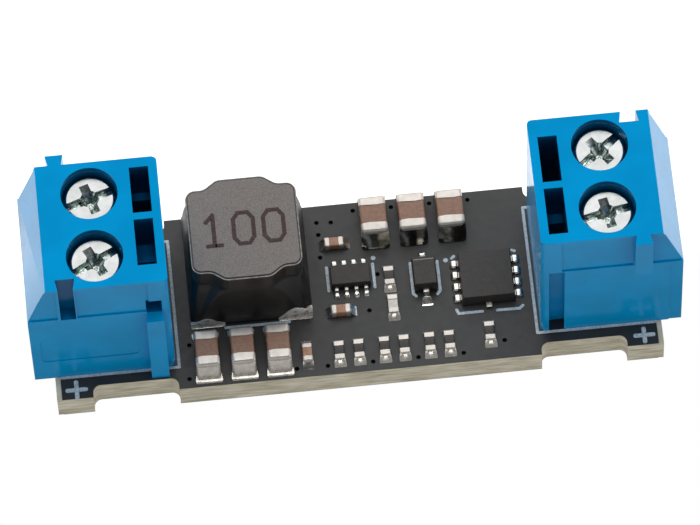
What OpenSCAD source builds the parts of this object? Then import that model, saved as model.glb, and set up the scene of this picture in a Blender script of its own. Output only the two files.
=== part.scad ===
// Buck converter module: a small notched circuit board with a two-way screw terminal block at each
// end, a shielded drum inductor and its chips. Millimetres. X runs along the board, +Y to its back
// edge and +Z up. The origin is under the middle of the board, at the level of the pin tips.

/* [Board] */
// Length of the circuit board
board_length = 30.8; // [29.6:0.1:40]
// Bare board in front of the front capacitors' solder
front_margin = 0.2; // [0.1:0.05:3]
// Bare board behind the back capacitors' solder
back_margin = 0.08; // [0.05:0.01:0.3]
// Bare board in front of the resistors' solder
front_row_margin = 0.4; // [0.3:0.05:0.6]
// Clearance between the inductor's solder and that of the front capacitors
row_clearance = 0.08; // [0.05:0.01:2]
// Thickness of the circuit board
board_thickness = 1.6; // [0.8:0.1:2.4]
// Distance from the board's middle to the near end of an edge notch
notch_start = 9.2; // [8.5:0.05:9.8]
// Length of an edge notch along the board
notch_length = 4.35; // [3:0.05:4.8]
// Depth of an edge notch
notch_depth = 0.65; // [0.5:0.05:1]
// Radius left by the router in a notch's inner corners
notch_corner_r = 0.4; // [0.1:0.05:0.45]
// Diameter of a via
via_d = 0.3; // [0.2:0.05:0.4]

/* [Terminal blocks] */
// Distance between the two poles of a block
pitch = 3.5; // [3.5:0.05:3.81]
// Distance from the board's middle to a block's inner wall
block_inner_x = 9.27; // [9.2:0.01:9.6]
// Depth of a block, from its inner wall to its wire side
block_depth = 7.15; // [7:0.05:8]
// Height of a block above the board
block_height = 9.63; // [9.4:0.01:12]
// Height of the shoulder where the wire side starts to lean in
shoulder_z = 6.35; // [6.3:0.05:7]
// How far the sloping face leans in at the top
slope_run = 1.06; // [0.6:0.02:1.3]
// Distance from a block's inner wall to its screw axes
screw_setback = 3.49; // [3.4:0.01:3.7]
// Diameter of the hole that a screw head sits in
screw_hole_d = 2.86; // [2.7:0.02:2.9]
// Solid height between a clamp chamber and the screw head's ledge
ledge_web = 1.88; // [1.5:0.02:3]
// Wall between the inner wall's face and a test slot
slot_setback = 0.45; // [0.4:0.05:0.6]
// Length of a test slot along the board
slot_length = 0.96; // [0.8:0.02:1.1]
// Wall between the test slots and the tongue side of the block
slot_wall_tongue = 0.53; // [0.45:0.01:0.7]
// Wall between the test slots and the rail side of the block
slot_wall_rail = 0.99; // [0.8:0.01:1.1]
// Width of the rib between the two test slots
slot_rib = 0.38; // [0.3:0.02:0.5]
// How far that rib is set off towards the tongue side
slot_rib_shift = 0.23; // [0:0.01:0.3]
// How far a wire entry opens out at its mouth, on each side
funnel_flare = 0.35; // [0.1:0.05:0.4]
// Depth of that flare
funnel_depth = 1.2; // [0.5:0.1:1.6]
// Depth of the shallow recesses in the block's side faces
side_recess = 0.08; // [0.02:0.01:0.12]
// Plain border round those recesses
recess_border = 0.25; // [0.15:0.05:0.3]
// Distance from the inner wall to the plain field on the rail side
field_start = 1.75; // [1.6:0.05:2.5]
// Distance from that field to the wire side
field_end = 0.5; // [0.3:0.05:1]
// Height of the field's lower edge above the board
field_low = 1.85; // [1:0.05:2.5]
// Height of the field
field_height = 2.5; // [1.5:0.05:3]
// Radius of the field's corners
field_corner_r = 0.3; // [0.1:0.05:0.5]
// Width of the step along the mouth's frame
frame_width = 0.65; // [0.5:0.05:0.8]

/* [Interlock between blocks] */
// Width of a dovetail tongue at its root
tongue_root = 0.68; // [0.5:0.02:0.8]
// Width of a dovetail tongue at its face
tongue_face = 0.9; // [0.8:0.02:1]
// How far a tongue stands out from the side face
tongue_proud = 0.55; // [0.3:0.05:0.6]
// Distance from the inner wall to the upper tongue's middle
upper_tongue_x = 5.09; // [5.05:0.01:5.4]
// Distance from the inner wall to the lower tongue's middle
lower_tongue_x = 0.8; // [0.7:0.01:0.9]
// Height of the pocket over the lower tongue
pocket_height = 1.2; // [0.6:0.05:1.5]
// Play of a tongue in its groove
tongue_play = 0.04; // [0.02:0.01:0.08]

/* [Screws and clamps] */
// Diameter of a screw head
head_d = 2.48; // [2.3:0.02:2.6]
// Height of a screw head
head_height = 1.1; // [0.9:0.05:1.4]
// Diameter of a screw shank
shank_d = 1.9; // [1.6:0.05:1.9]
// Width of the driver slot and of the cross wings
drive_width = 0.42; // [0.3:0.02:0.5]
// Depth of the driver slot
drive_depth = 0.5; // [0.3:0.05:0.7]
// Length of the cross wings
wing_length = 1.7; // [1.4:0.05:2]
// Angle of the left back screw's slot
left_back_turn = 18; // [0:1:180]
// Angle of the left front screw's slot
left_front_turn = 27; // [0:1:180]
// Angle of the right back screw's slot
right_back_turn = 38; // [0:1:180]
// Angle of the right front screw's slot
right_front_turn = 11; // [0:1:180]
// Length of a clamp along the wire
clamp_length = 2.6; // [2.4:0.05:2.7]
// Width of a clamp across the wire
clamp_width = 2.7; // [2.6:0.05:2.8]
// Thickness of a clamp's side walls
clamp_wall = 0.4; // [0.3:0.05:0.45]
// Thickness of a clamp's floor
clamp_floor = 0.5; // [0.4:0.05:0.7]
// Thickness of a clamp's threaded top
clamp_top = 0.8; // [0.6:0.05:1]
// Height of an open clamp's floor above the board
clamp_rest_gap = 0.6; // [0.3:0.05:0.8]
// Clear height for the wire in an open clamp
wire_gap = 1.7; // [1.4:0.05:1.8]

/* [Contacts] */
// Thickness of the contact sheet
sheet = 0.5; // [0.4:0.05:0.6]
// Width of a contact
contact_width = 1.5; // [1.2:0.05:1.6]
// Inner radius of a contact's bend
bend_r = 0.25; // [0.1:0.05:0.4]
// Width of a solder pin
pin_width = 0.8; // [0.6:0.05:0.9]
// Length of a pin below the board
pin_stub = 1.2; // [1:0.1:2]

/* [Inductor] */
// Distance from the board's middle to the inductor's middle
inductor_x = -5.22; // [-5.5:0.01:-5]
// Width of the inductor at its base
inductor_base = 6.2; // [6:0.05:6.3]
// Gap from the inductor's base to the back edge of the board
inductor_edge_gap = 0.02; // [0:0.01:0.3]
// Width of the top flange along the board
flange_width = 5.62; // [5.4:0.02:5.8]
// Length of the top flange across the board, over its two tongues
flange_length = 5.74; // [5.6:0.02:5.9]
// How far the flange's corners step back behind its tongues
flange_step = 0.5; // [0.3:0.02:0.6]
// Width of a flange tongue at its end
flange_tongue = 2.34; // [2:0.02:2.6]
// Width of a flange tongue at its root
flange_tongue_root = 3.7; // [3.4:0.02:4]
// Radius of the flange's corners
flange_corner_r = 0.5; // [0.3:0.05:0.6]
// Height of the inductor
inductor_height = 4.5; // [4:0.05:5]
// Thickness of the top flange
flange_thickness = 1.1; // [0.8:0.05:1.3]
// Thickness of the bottom flange
base_thickness = 1.0; // [0.8:0.05:1.2]
// Thickness of the resin over the bottom flange
resin_skin = 0.15; // [0.1:0.01:0.2]
// Radius of the resin's corners
resin_corner_r = 0.45; // [0.3:0.05:0.6]
// Diameter of the core's post
post_d = 2.8; // [2.4:0.1:3]
// Diameter of the winding wire
wire_d = 0.5; // [0.3:0.05:0.5]
// Number of winding layers
winding_layers = 2; // [1:1:2]
// Width of an end terminal
terminal_width = 1.75; // [1.4:0.05:2]
// Height of an end terminal's upturned tabs
terminal_height = 0.95; // [0.6:0.05:1]
// Thickness of the terminal metal under the base
terminal_thickness = 0.1; // [0.05:0.01:0.12]

/* [Large capacitors] */
// Length of a large capacitor
cap_length = 2.0; // [1.9:0.05:2.1]
// Width of a front capacitor
front_cap_width = 1.22; // [1.15:0.01:1.35]
// Height of a front capacitor
front_cap_height = 1.25; // [1:0.05:1.35]
// Distance between front capacitors
front_cap_pitch = 1.81; // [1.7:0.01:1.9]
// Distance from the board's middle to the middle front capacitor
front_cap_x = -5.84; // [-6:0.01:-5.7]
// Width of a back capacitor
back_cap_width = 1.38; // [1.2:0.01:1.45]
// Height of a back capacitor
back_cap_height = 1.35; // [1:0.05:1.45]
// Distance between back capacitors
back_cap_pitch = 1.96; // [1.85:0.01:2]
// Distance from the board's middle to the middle back capacitor
back_cap_x = 3.4; // [3.3:0.01:3.5]
// Length of a capacitor's end metal
cap_band = 0.47; // [0.3:0.01:0.6]
// Radius of a large capacitor's long edges
cap_edge_r = 0.1; // [0.05:0.01:0.15]

/* [Small chips] */
// Length of a small chip
chip_length = 1.0; // [0.95:0.01:1.05]
// Width of a small chip
chip_width = 0.52; // [0.45:0.01:0.55]
// Height of a chip capacitor
chip_cap_height = 0.5; // [0.4:0.01:0.55]
// Height of a chip resistor
chip_res_height = 0.35; // [0.3:0.01:0.4]
// Length of a small chip's end metal
chip_band = 0.25; // [0.15:0.01:0.3]
// How far the end metal stands proud of a chip
band_proud = 0.02; // [0.01:0.01:0.03]
// Radius of a chip capacitor's long edges
chip_cap_edge_r = 0.05; // [0.03:0.01:0.08]
// Radius of a chip resistor's long edges
chip_res_edge_r = 0.03; // [0.01:0.01:0.05]
// Distance between the two resistors of a pair
pair_spacing = 1.0; // [0.9:0.01:1.05]
// Distance between neighbouring pairs
pair_pitch = 2.3; // [2.2:0.01:2.35]
// Distance from the board's middle to the first pair
first_pair_x = -0.48; // [-0.5:0.01:-0.4]

/* [Diode, controller and power switch] */
// Width of the diode's body
diode_width = 1.22; // [1.1:0.01:1.3]
// Length of the diode's body
diode_length = 1.68; // [1.6:0.01:1.8]
// Height of the diode's body
diode_height = 0.9; // [0.8:0.01:1.1]
// Length of the diode from lead tip to lead tip
diode_span = 2.5; // [2.3:0.01:2.6]
// Length of the controller's body along its rows of leads
controller_length = 2.05; // [1.9:0.01:2.1]
// Width of the controller's body
controller_width = 1.16; // [1.1:0.01:1.3]
// Height of the controller's body
controller_height = 0.62; // [0.5:0.01:0.7]
// Width of the controller from lead tip to lead tip
controller_span = 1.9; // [1.7:0.01:2]
// Distance between neighbouring controller leads
controller_pitch = 0.5; // [0.45:0.01:0.5]
// Width and length of the power switch's body
switch_body = 2.75; // [2.6:0.01:3]
// Height of the power switch's body
switch_height = 0.8; // [0.7:0.01:1]
// Width of the power switch from lead tip to lead tip
switch_span = 3.3; // [3.2:0.01:3.4]
// Distance between neighbouring power switch leads
switch_pitch = 0.65; // [0.6:0.01:0.65]
// Length of a power switch lead inside the body
switch_lead_root = 0.3; // [0.2:0.05:0.4]
// Setback of the heat pad from the power switch's sides
pad_setback = 0.5; // [0.45:0.05:0.7]
// How much nearer the heat pad comes to the back side
pad_reach = 0.2; // [0:0.05:0.3]
// Width of the tie bar of the heat pad
tie_bar_width = 0.3; // [0.2:0.05:0.5]
// Slope of the sides of the moulded bodies, in degrees
draft_angle = 7; // [3:1:10]

/* [Solder] */
// Width that a solder joint adds beyond the end of a small chip
small_toe = 0.3; // [0.2:0.01:0.35]
// Width that a solder joint adds beyond the end of a front capacitor
large_toe = 0.4; // [0.3:0.01:0.42]
// Width that a solder joint adds beyond the end of a back capacitor
back_toe = 0.3; // [0.2:0.01:0.35]
// Width that a solder joint adds beyond the tip of a fine lead
fine_toe = 0.12; // [0.05:0.01:0.15]
// Share of a small chip's height that the solder climbs
solder_climb = 0.75; // [0.4:0.05:0.9]
// Share of a large part's height that the solder climbs
large_climb = 0.45; // [0.3:0.05:0.9]
// Thickness of the solder at the edge of a joint
solder_edge = 0.05; // [0.02:0.01:0.06]
// Diameter of a solder cone under the board
cone_d = 1.9; // [1.5:0.05:2.2]
// Height of a solder cone under the board
cone_height = 0.85; // [0.5:0.05:0.9]

/* [Fits] */
// Diameter allowance of the screw in the clamp's thread
thread_play = 0.06; // [0.04:0.01:0.1]
// Diameter allowance of the screw in the housing
shank_play = 0.12; // [0.08:0.01:0.16]
// Gap under a screw head and under a screw tip
seat_gap = 0.02; // [0.01:0.01:0.04]
// Gap between a clamp and its chamber on each side
clamp_play = 0.05; // [0.03:0.01:0.08]
// Gap between a contact and the housing
contact_play = 0.05; // [0.02:0.01:0.08]
// Gap that a fully raised clamp leaves under the busbar, and over it when open
busbar_gap = 0.1; // [0.05:0.01:0.15]
// Clearance over a fully raised clamp
chamber_headroom = 0.2; // [0.1:0.05:0.3]
// Allowance of a pin's hole in the board over the pin's diagonal
pin_hole_play = 0.15; // [0.1:0.05:0.3]

/* [Hidden] */

eps = 0.01;
big_fn = 48;
small_fn = 32;

// The board is as wide as what stands on it, from the inductor to the front capacitors
board_width = inductor_edge_gap + inductor_base + small_toe + row_clearance
    + cap_length + 2 * large_toe + front_margin;
board_top = pin_stub + board_thickness;
back_edge = board_width / 2;
front_edge = -board_width / 2;
notch_middle = notch_start + notch_length / 2;

// Heights inside a terminal block, counted from the board's top
busbar_z = clamp_rest_gap + clamp_floor + wire_gap;
busbar_top = busbar_z + sheet;
clamp_travel = wire_gap - busbar_gap;
window_height = wire_gap + sheet + busbar_gap;
clamp_height = clamp_floor + window_height + clamp_top;
chamber_height = clamp_rest_gap + clamp_height + clamp_travel + chamber_headroom;
ledge_z = chamber_height + ledge_web;
head_z = ledge_z + seat_gap;

// Plan sizes inside a terminal block, counted from its inner wall and its middle
block_width = 2 * pitch;
chamber_length = clamp_length + 2 * clamp_play;
chamber_width = clamp_width + 2 * clamp_play;
chamber_start = screw_setback - chamber_length / 2;
chamber_end = screw_setback + chamber_length / 2;
entry_width = clamp_width - 2 * clamp_wall;
leg_x = slot_setback + (slot_length - sheet) / 2;
busbar_end = chamber_end + sheet;
pin_hole_d = sqrt(pin_width * pin_width + sheet * sheet) + pin_hole_play;
pin_x = leg_x + sheet / 2;

// Grooves take the tongues of a neighbouring block
groove_depth = tongue_proud + tongue_play;
lower_tongue_height = shoulder_z - tongue_play;
slot_shelf_z = shoulder_z + slot_setback;

inductor_y = back_edge - inductor_edge_gap - inductor_base / 2;
post_height = inductor_height - terminal_thickness - base_thickness - flange_thickness;
post_z = terminal_thickness + base_thickness;
flange_z = inductor_height - flange_thickness;
base_core = inductor_base - 2 * resin_skin;

// Section of the winding, beside the post
winding_pitch = wire_d * 0.98;
turns = floor((post_height - wire_d) / winding_pitch) + 1;
winding_height = (turns - 1) * winding_pitch + wire_d;
winding_r = post_d / 2 + wire_d + (winding_layers - 1) * winding_pitch;

// Lead frames of the moulded bodies
lead_root = 0.15;
diode_parting = diode_height / 2;
diode_lead_width = 0.3;
diode_lead_thickness = 0.13;
controller_parting = controller_height / 2;
controller_lead_width = 0.2;
controller_lead_thickness = 0.12;
switch_lead_width = 0.32;
switch_lead_thickness = 0.22;

front_cap_y = front_edge + front_margin + large_toe + cap_length / 2;
back_cap_y = back_edge - back_margin - back_toe - cap_length / 2;
front_row_y = front_edge + front_row_margin + small_toe + chip_length / 2;
back_via_inset = 0.45;
front_via_inset = 0.5;

// Middles of the small chips: the three pairs of the front row, then the single ones
pair_xs = [for (i = [0:2]) for (s = [-1, 1]) first_pair_x + i * pair_pitch + s * pair_spacing / 2];
chip_resistor_spots = concat([for (x = pair_xs) [x, front_row_y]], [[6.7, front_row_y + 0.3]]);
middle_resistor_spot = [1.93, 0.35];
turned_resistor_spot = [1.98, middle_resistor_spot[1] - chip_length - 2 * small_toe - 0.02];
chip_capacitor_spots = [[-0.68, 2.48], [-0.68, -1.36]];
front_chip_capacitor_spot = [-2.6, front_row_y];
diode_spot = [3.73, 0.17];
controller_spot = [-0.03, 0.5];
switch_spot = [6.83, -0.29];

// Vias beside the capacitors and resistors, and single ones
back_via_y = back_edge - back_via_inset;
front_via_y = front_edge + front_via_inset;
back_vias = [for (i = [0:3]) [back_cap_x + (i - 1.5) * back_cap_pitch, back_via_y]];
front_vias = [for (i = [-1:2]) [first_pair_x + (i + 0.5) * pair_pitch, front_via_y]];
single_vias = [
    [-3.2, front_via_y], [-8.65, front_via_y], [-8.5, -2.4], [7.4, -3.8],
    [-1.45, 3.85], [-0.72, 3.8], [-1.42, 3.15], [-1.45, 1.85], [1.36, 0.6], [0.76, -1.4]
];

// ---- Frames ----

// Moves things drawn on the board's top to their place
module on_board(spot = [0, 0]) {
    translate([spot[0], spot[1], board_top])
        children();
}

// Frame of a block: X from its inner wall to its wire side, -Y to its tongue side.
// The left block (side = -1) is the right one (side = 1) turned by half a turn.
module in_block(side) {
    rotate([0, 0, side > 0 ? 0 : 180])
        translate([block_inner_x, 0, board_top])
            children();
}

// Frame of one pole: row is -1 for the front pole and 1 for the back one
module at_pole(side, row) {
    in_block(side)
        translate([0, side * row * pitch / 2, 0])
            children();
}

// A box from one corner to the other
module span_box(low, high) {
    translate(low)
        cube([for (i = [0:2]) high[i] - low[i]]);
}

// ---- Board ----

// Outline of one edge notch, open towards +Y
module notch_shape() {
    straight = notch_length - 2 * notch_corner_r;
    translate([-notch_length / 2, notch_corner_r - notch_depth])
        square([notch_length, notch_depth]);
    translate([-straight / 2, -notch_depth])
        square([straight, notch_depth]);
    for (s = [-1, 1])
        translate([s * straight / 2, notch_corner_r - notch_depth])
            circle(notch_corner_r, $fn = small_fn);
}

module board_shape() {
    difference() {
        square([board_length, board_width], center = true);
        for (s = [-1, 1])
            for (turn = [0, 180])
                rotate(turn)
                    translate([s * notch_middle, back_edge])
                        notch_shape();
        for (spot = concat(back_vias, front_vias, single_vias))
            translate(spot)
                circle(d = via_d, $fn = 16);
    }
}

module circuit_board() {
    color("#3f4041")
        difference() {
            translate([0, 0, pin_stub])
                linear_extrude(board_thickness)
                    board_shape();
            for (side = [-1, 1], row = [-1, 1])
                at_pole(side, row)
                    translate([pin_x, 0, -board_thickness - eps])
                        cylinder(d = pin_hole_d, h = board_thickness + 2 * eps, $fn = small_fn);
        }
}

// ---- Terminal blocks ----

// Side view of a block
module block_profile() {
    polygon([
        [0, 0],
        [block_depth, 0],
        [block_depth, shoulder_z],
        [block_depth - slope_run, block_height],
        [0, block_height]
    ]);
}

// Plan of a dovetail tongue that stands out towards -Y, grown by play all round
module dovetail(play) {
    root = tongue_root / 2 + play;
    face = tongue_face / 2 + play;
    depth = tongue_proud + play;
    polygon([[-root, eps], [root, eps], [face, -depth], [-face, -depth]]);
}

// A groove in a side face; y_sign is -1 for the tongue side and 1 for the rail side
module groove(x, y_sign, low_z, high_z) {
    translate([x, y_sign * block_width / 2, low_z])
        mirror([0, y_sign > 0 ? 0 : 1, 0])
            linear_extrude(high_z - low_z)
                dovetail(tongue_play);
}

// A tongue on a side face
module tongue(x, y_sign, low_z, high_z) {
    translate([x, y_sign * block_width / 2, low_z])
        mirror([0, y_sign > 0 ? 1 : 0, 0])
            linear_extrude(high_z - low_z)
                dovetail(0);
}

// The test slots: wide at the top, and as wide as the contact further down
module test_slots() {
    slot_end = slot_setback + slot_length;
    tongue_edge = -block_width / 2 + slot_wall_tongue;
    rail_edge = block_width / 2 - slot_wall_rail;
    top = block_height + eps;
    span_box([slot_setback, tongue_edge, slot_shelf_z], [slot_end, -slot_rib_shift - slot_rib / 2, top]);
    span_box([slot_setback, -slot_rib_shift + slot_rib / 2, slot_shelf_z], [slot_end, rail_edge, top]);
}

// Room for one contact, its clamp, its screw and the wire
module pole_cavity() {
    half_contact = contact_width / 2 + contact_play;
    half_chamber = chamber_width / 2;
    // Leg of the contact, up to the test slot
    span_box([slot_setback, -half_contact, -eps], [slot_setback + slot_length, half_contact, slot_shelf_z + eps]);
    // Way of the busbar, and the notch that its end rests in
    span_box([slot_setback, -half_contact, -eps], [screw_setback, half_contact, busbar_top + contact_play]);
    span_box(
        [screw_setback, -half_contact, busbar_z - contact_play],
        [busbar_end + contact_play, half_contact, busbar_top + contact_play]
    );
    // Clamp chamber, open to the board
    span_box([chamber_start, -half_chamber, -eps], [chamber_end, half_chamber, chamber_height]);
    // Screw
    translate([screw_setback, 0, chamber_height - eps])
        cylinder(d = shank_d + shank_play, h = ledge_web + 2 * eps, $fn = small_fn);
    translate([screw_setback, 0, ledge_z])
        cylinder(d = screw_hole_d, h = block_height - ledge_z + eps, $fn = big_fn);
    wire_entry();
}

// Wire entry: a straight throat that flares to its mouth in the wire side
module wire_entry() {
    low = clamp_rest_gap + clamp_floor;
    flare_start = block_depth - funnel_depth;
    half = entry_width / 2;
    reach = block_depth + eps;
    plan = [
        [chamber_end - eps, -half], [flare_start, -half], [reach, -half - funnel_flare],
        [reach, half + funnel_flare], [flare_start, half], [chamber_end - eps, half]
    ];
    side_view = [
        [chamber_end - eps, low], [flare_start, low], [reach, low - funnel_flare],
        [reach, busbar_z + funnel_flare], [flare_start, busbar_z], [chamber_end - eps, busbar_z]
    ];
    intersection() {
        linear_extrude(block_height)
            polygon(plan);
        rotate([90, 0, 0])
            linear_extrude(block_width, center = true)
                polygon(side_view);
    }
}

// Shallow recesses in the upper half of a side face
module side_recesses() {
    recess_low = shoulder_z + side_recess;
    recess_high = block_height - recess_border;
    first = lower_tongue_x + recess_border;
    last = upper_tongue_x - tongue_face / 2;
    next = upper_tongue_x + tongue_face / 2 + side_recess;
    for (y_sign = [-1, 1])
        translate([0, y_sign * block_width / 2, 0]) {
            span_box([first, -side_recess, recess_low], [last, side_recess, recess_high]);
            span_box([next, -side_recess, recess_low], [block_depth, side_recess, recess_high]);
        }
}

// Plain recessed field on the rail side, with round corners
module side_field() {
    length = block_depth - field_start - field_end;
    translate([field_start + length / 2, block_width / 2 + eps, field_low + field_height / 2])
        rotate([90, 0, 0])
            linear_extrude(side_recess / 2 + eps)
                round_rectangle(length, field_height, field_corner_r);
}

// Step along the mouth's frame on the tongue side
module frame_step() {
    span_box(
        [block_depth - frame_width, -block_width / 2 - eps, -eps],
        [block_depth + eps, -block_width / 2 + side_recess / 2, shoulder_z]
    );
}

module terminal_housing() {
    color("#0087c8")
        difference() {
            union() {
                rotate([90, 0, 0])
                    linear_extrude(block_width, center = true)
                        block_profile();
                tongue(upper_tongue_x, -1, shoulder_z + tongue_play, block_height);
                tongue(lower_tongue_x, 1, 0, lower_tongue_height);
            }
            groove(lower_tongue_x, -1, -eps, shoulder_z);
            groove(upper_tongue_x, 1, shoulder_z, block_height + eps);
            groove(lower_tongue_x, 1, lower_tongue_height + eps, lower_tongue_height + pocket_height);
            test_slots();
            for (row = [-1, 1])
                translate([0, row * pitch / 2, 0])
                    pole_cavity();
            side_recesses();
            side_field();
            frame_step();
        }
}

module left_terminal_housing() {
    in_block(-1)
        terminal_housing();
}

module right_terminal_housing() {
    in_block(1)
        terminal_housing();
}

// ---- Screws and clamps ----

// Terminal screw on its own axis: head, shank and a slot crossed by two shorter wings
module terminal_screw(turn) {
    head_top = head_z + head_height;
    tip_z = busbar_top + seat_gap;
    shank_r = shank_d / 2;
    head_r = head_d / 2;
    point = 0.2;
    edge = 0.12;
    color("#d9dad6")
        difference() {
            rotate_extrude($fn = big_fn)
                polygon([
                    [0, tip_z],
                    [shank_r - point, tip_z],
                    [shank_r, tip_z + point],
                    [shank_r, head_z],
                    [head_r, head_z],
                    [head_r, head_top - edge],
                    [head_r - edge, head_top],
                    [0, head_top]
                ]);
            rotate([0, 0, turn]) {
                translate([0, 0, head_top - drive_depth / 2])
                    cube([2 * head_d, drive_width, drive_depth + eps], center = true);
                translate([0, 0, head_top - drive_depth / 2])
                    cube([drive_width, wing_length, drive_depth + eps], center = true);
            }
        }
}

// Clamp: a metal frame that the screw draws up against the wire
module wire_clamp() {
    half_l = clamp_length / 2;
    half_w = clamp_width / 2;
    half_window = half_w - clamp_wall;
    floor_z = clamp_rest_gap + clamp_floor;
    color("#c9cac4")
        difference() {
            span_box([-half_l, -half_w, clamp_rest_gap], [half_l, half_w, clamp_rest_gap + clamp_height]);
            span_box(
                [-half_l - eps, -half_window, floor_z],
                [half_l + eps, half_window, floor_z + window_height]
            );
            translate([0, 0, floor_z + window_height - eps])
                cylinder(d = shank_d + thread_play, h = clamp_top + 2 * eps, $fn = small_fn);
        }
}

module screw_at(side, row, turn) {
    at_pole(side, row)
        translate([screw_setback, 0, 0])
            terminal_screw(turn);
}

module clamp_at(side, row) {
    at_pole(side, row)
        translate([screw_setback, 0, 0])
            wire_clamp();
}

module left_back_screw() {
    screw_at(-1, 1, left_back_turn);
}

module left_front_screw() {
    screw_at(-1, -1, left_front_turn);
}

module right_back_screw() {
    screw_at(1, 1, right_back_turn);
}

module right_front_screw() {
    screw_at(1, -1, right_front_turn);
}

module left_back_clamp() {
    clamp_at(-1, 1);
}

module left_front_clamp() {
    clamp_at(-1, -1);
}

module right_back_clamp() {
    clamp_at(1, 1);
}

module right_front_clamp() {
    clamp_at(1, -1);
}

// ---- Contacts ----

// Folded contact: the pin and leg rise from the board, and the busbar runs through the clamp
module contact() {
    outer_r = bend_r + sheet;
    half = contact_width / 2;
    bend_z = busbar_top - outer_r;
    color("#d2cfc4") {
        difference() {
            union() {
                // Leg, standing on the board
                span_box([leg_x, -half, 0], [leg_x + sheet, half, bend_z + eps]);
                // Bend
                translate([leg_x + outer_r, 0, bend_z])
                    rotate([90, 0, 0])
                        cylinder(r = outer_r, h = contact_width, center = true, $fn = big_fn);
            }
            translate([leg_x + outer_r, 0, bend_z])
                rotate([90, 0, 0])
                    cylinder(r = bend_r, h = 2 * contact_width, center = true, $fn = big_fn);
            // Only the quarter between the leg and the busbar is kept
            span_box([leg_x + sheet, -contact_width, 0], [leg_x + 3 * outer_r, contact_width, bend_z]);
            span_box(
                [leg_x + outer_r, -contact_width, bend_z - eps],
                [leg_x + 3 * outer_r, contact_width, busbar_top + sheet]
            );
        }
        // Busbar
        span_box([leg_x + outer_r - eps, -half, busbar_z], [busbar_end, half, busbar_top]);
        // Solder pin
        span_box([leg_x, -pin_width / 2, -board_top], [leg_x + sheet, pin_width / 2, eps]);
    }
}

module left_back_contact() {
    at_pole(-1, 1)
        contact();
}

module left_front_contact() {
    at_pole(-1, -1)
        contact();
}

module right_back_contact() {
    at_pole(1, 1)
        contact();
}

module right_front_contact() {
    at_pole(1, -1)
        contact();
}

// ---- Inductor ----

module at_inductor() {
    on_board([inductor_x, inductor_y])
        children();
}

// A rectangle with round corners
module round_rectangle(x, y, r) {
    square([x - 2 * r, y], center = true);
    square([x, y - 2 * r], center = true);
    for (sx = [-1, 1], sy = [-1, 1])
        translate([sx * (x / 2 - r), sy * (y / 2 - r)])
            circle(r, $fn = small_fn);
}

// Plan of the top flange: a square with round corners and a tongue at the front and at the back
module flange_shape() {
    half = flange_length / 2;
    root_y = half - flange_step;
    round_rectangle(flange_width, 2 * root_y, flange_corner_r);
    polygon([
        [-flange_tongue / 2, -half], [flange_tongue / 2, -half],
        [flange_tongue_root / 2, -root_y], [flange_tongue_root / 2, root_y],
        [flange_tongue / 2, half], [-flange_tongue / 2, half],
        [-flange_tongue_root / 2, root_y], [-flange_tongue_root / 2, -root_y]
    ]);
}

module inductor_core() {
    color("#6c6764")
        at_inductor() {
            translate([0, 0, terminal_thickness])
                linear_extrude(base_thickness)
                    round_rectangle(base_core, base_core, resin_corner_r - resin_skin);
            translate([0, 0, post_z - eps])
                cylinder(d = post_d, h = post_height + 2 * eps, $fn = big_fn);
            translate([0, 0, flange_z])
                linear_extrude(flange_thickness)
                    flange_shape();
        }
}

// Enamelled wire in layers round the post; neighbouring turns just bite into each other
module inductor_winding() {
    color("#b5653a")
        at_inductor()
            translate([0, 0, post_z + (post_height - winding_height) / 2 + wire_d / 2])
                rotate_extrude($fn = big_fn)
                    for (layer = [0:winding_layers - 1], turn = [0:turns - 1])
                        translate([post_d / 2 + wire_d / 2 + layer * winding_pitch, turn * winding_pitch])
                            circle(d = wire_d, $fn = 16);
}

// Resin: a skin round the bottom flange that draws in to the outline of the top flange
module inductor_resin() {
    color("#1a1817")
        at_inductor()
            difference() {
                hull() {
                    translate([0, 0, terminal_thickness])
                        linear_extrude(post_z - terminal_thickness)
                            round_rectangle(inductor_base, inductor_base, resin_corner_r, $fn = small_fn);
                    translate([0, 0, flange_z - eps])
                        linear_extrude(eps)
                            flange_shape();
                }
                linear_extrude(post_z)
                    square(base_core, center = true);
                translate([0, 0, eps])
                    cylinder(r = winding_r, h = inductor_height, $fn = big_fn);
                for (side = [-1, 1])
                    terminal_tabs(side);
            }
}

// The tabs of one end terminal, in the faces of the base; side is -1 for the left end
module terminal_tabs(side) {
    middle = side * (inductor_base - terminal_width) / 2;
    for (y_sign = [-1, 1])
        translate([middle, y_sign * (inductor_base - resin_skin) / 2, terminal_height / 2])
            cube([terminal_width, resin_skin, terminal_height], center = true);
}

module inductor_terminal(side) {
    middle = side * (inductor_base - terminal_width) / 2;
    color("#d8d6cf")
        at_inductor() {
            translate([middle, 0, terminal_thickness / 2])
                cube([terminal_width, inductor_base, terminal_thickness], center = true);
            terminal_tabs(side);
        }
}

module inductor_left_terminal() {
    inductor_terminal(-1);
}

module inductor_right_terminal() {
    inductor_terminal(1);
}

// ---- Chips ----

// A ceramic chip along Y: body and two end metals, with round long edges
module ceramic_chip(length, width, height, band, edge_r) {
    rotate([90, 0, 0])
        linear_extrude(length - 2 * band_proud, center = true)
            translate([0, height / 2])
                round_rectangle(width - 2 * band_proud, height - 2 * band_proud, edge_r);
    for (s = [-1, 1])
        translate([0, s * (length - band) / 2, height / 2])
            rotate([90, 0, 0])
                linear_extrude(band, center = true)
                    round_rectangle(width, height, edge_r + band_proud);
}

module front_capacitor(place) {
    color("#8c695a")
        on_board([front_cap_x + place * front_cap_pitch, front_cap_y])
            ceramic_chip(cap_length, front_cap_width, front_cap_height, cap_band, cap_edge_r);
}

module front_capacitor_1() {
    front_capacitor(-1);
}

module front_capacitor_2() {
    front_capacitor(0);
}

module front_capacitor_3() {
    front_capacitor(1);
}

module back_capacitor(place) {
    color("#8c695a")
        on_board([back_cap_x + place * back_cap_pitch, back_cap_y])
            ceramic_chip(cap_length, back_cap_width, back_cap_height, cap_band, cap_edge_r);
}

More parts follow.
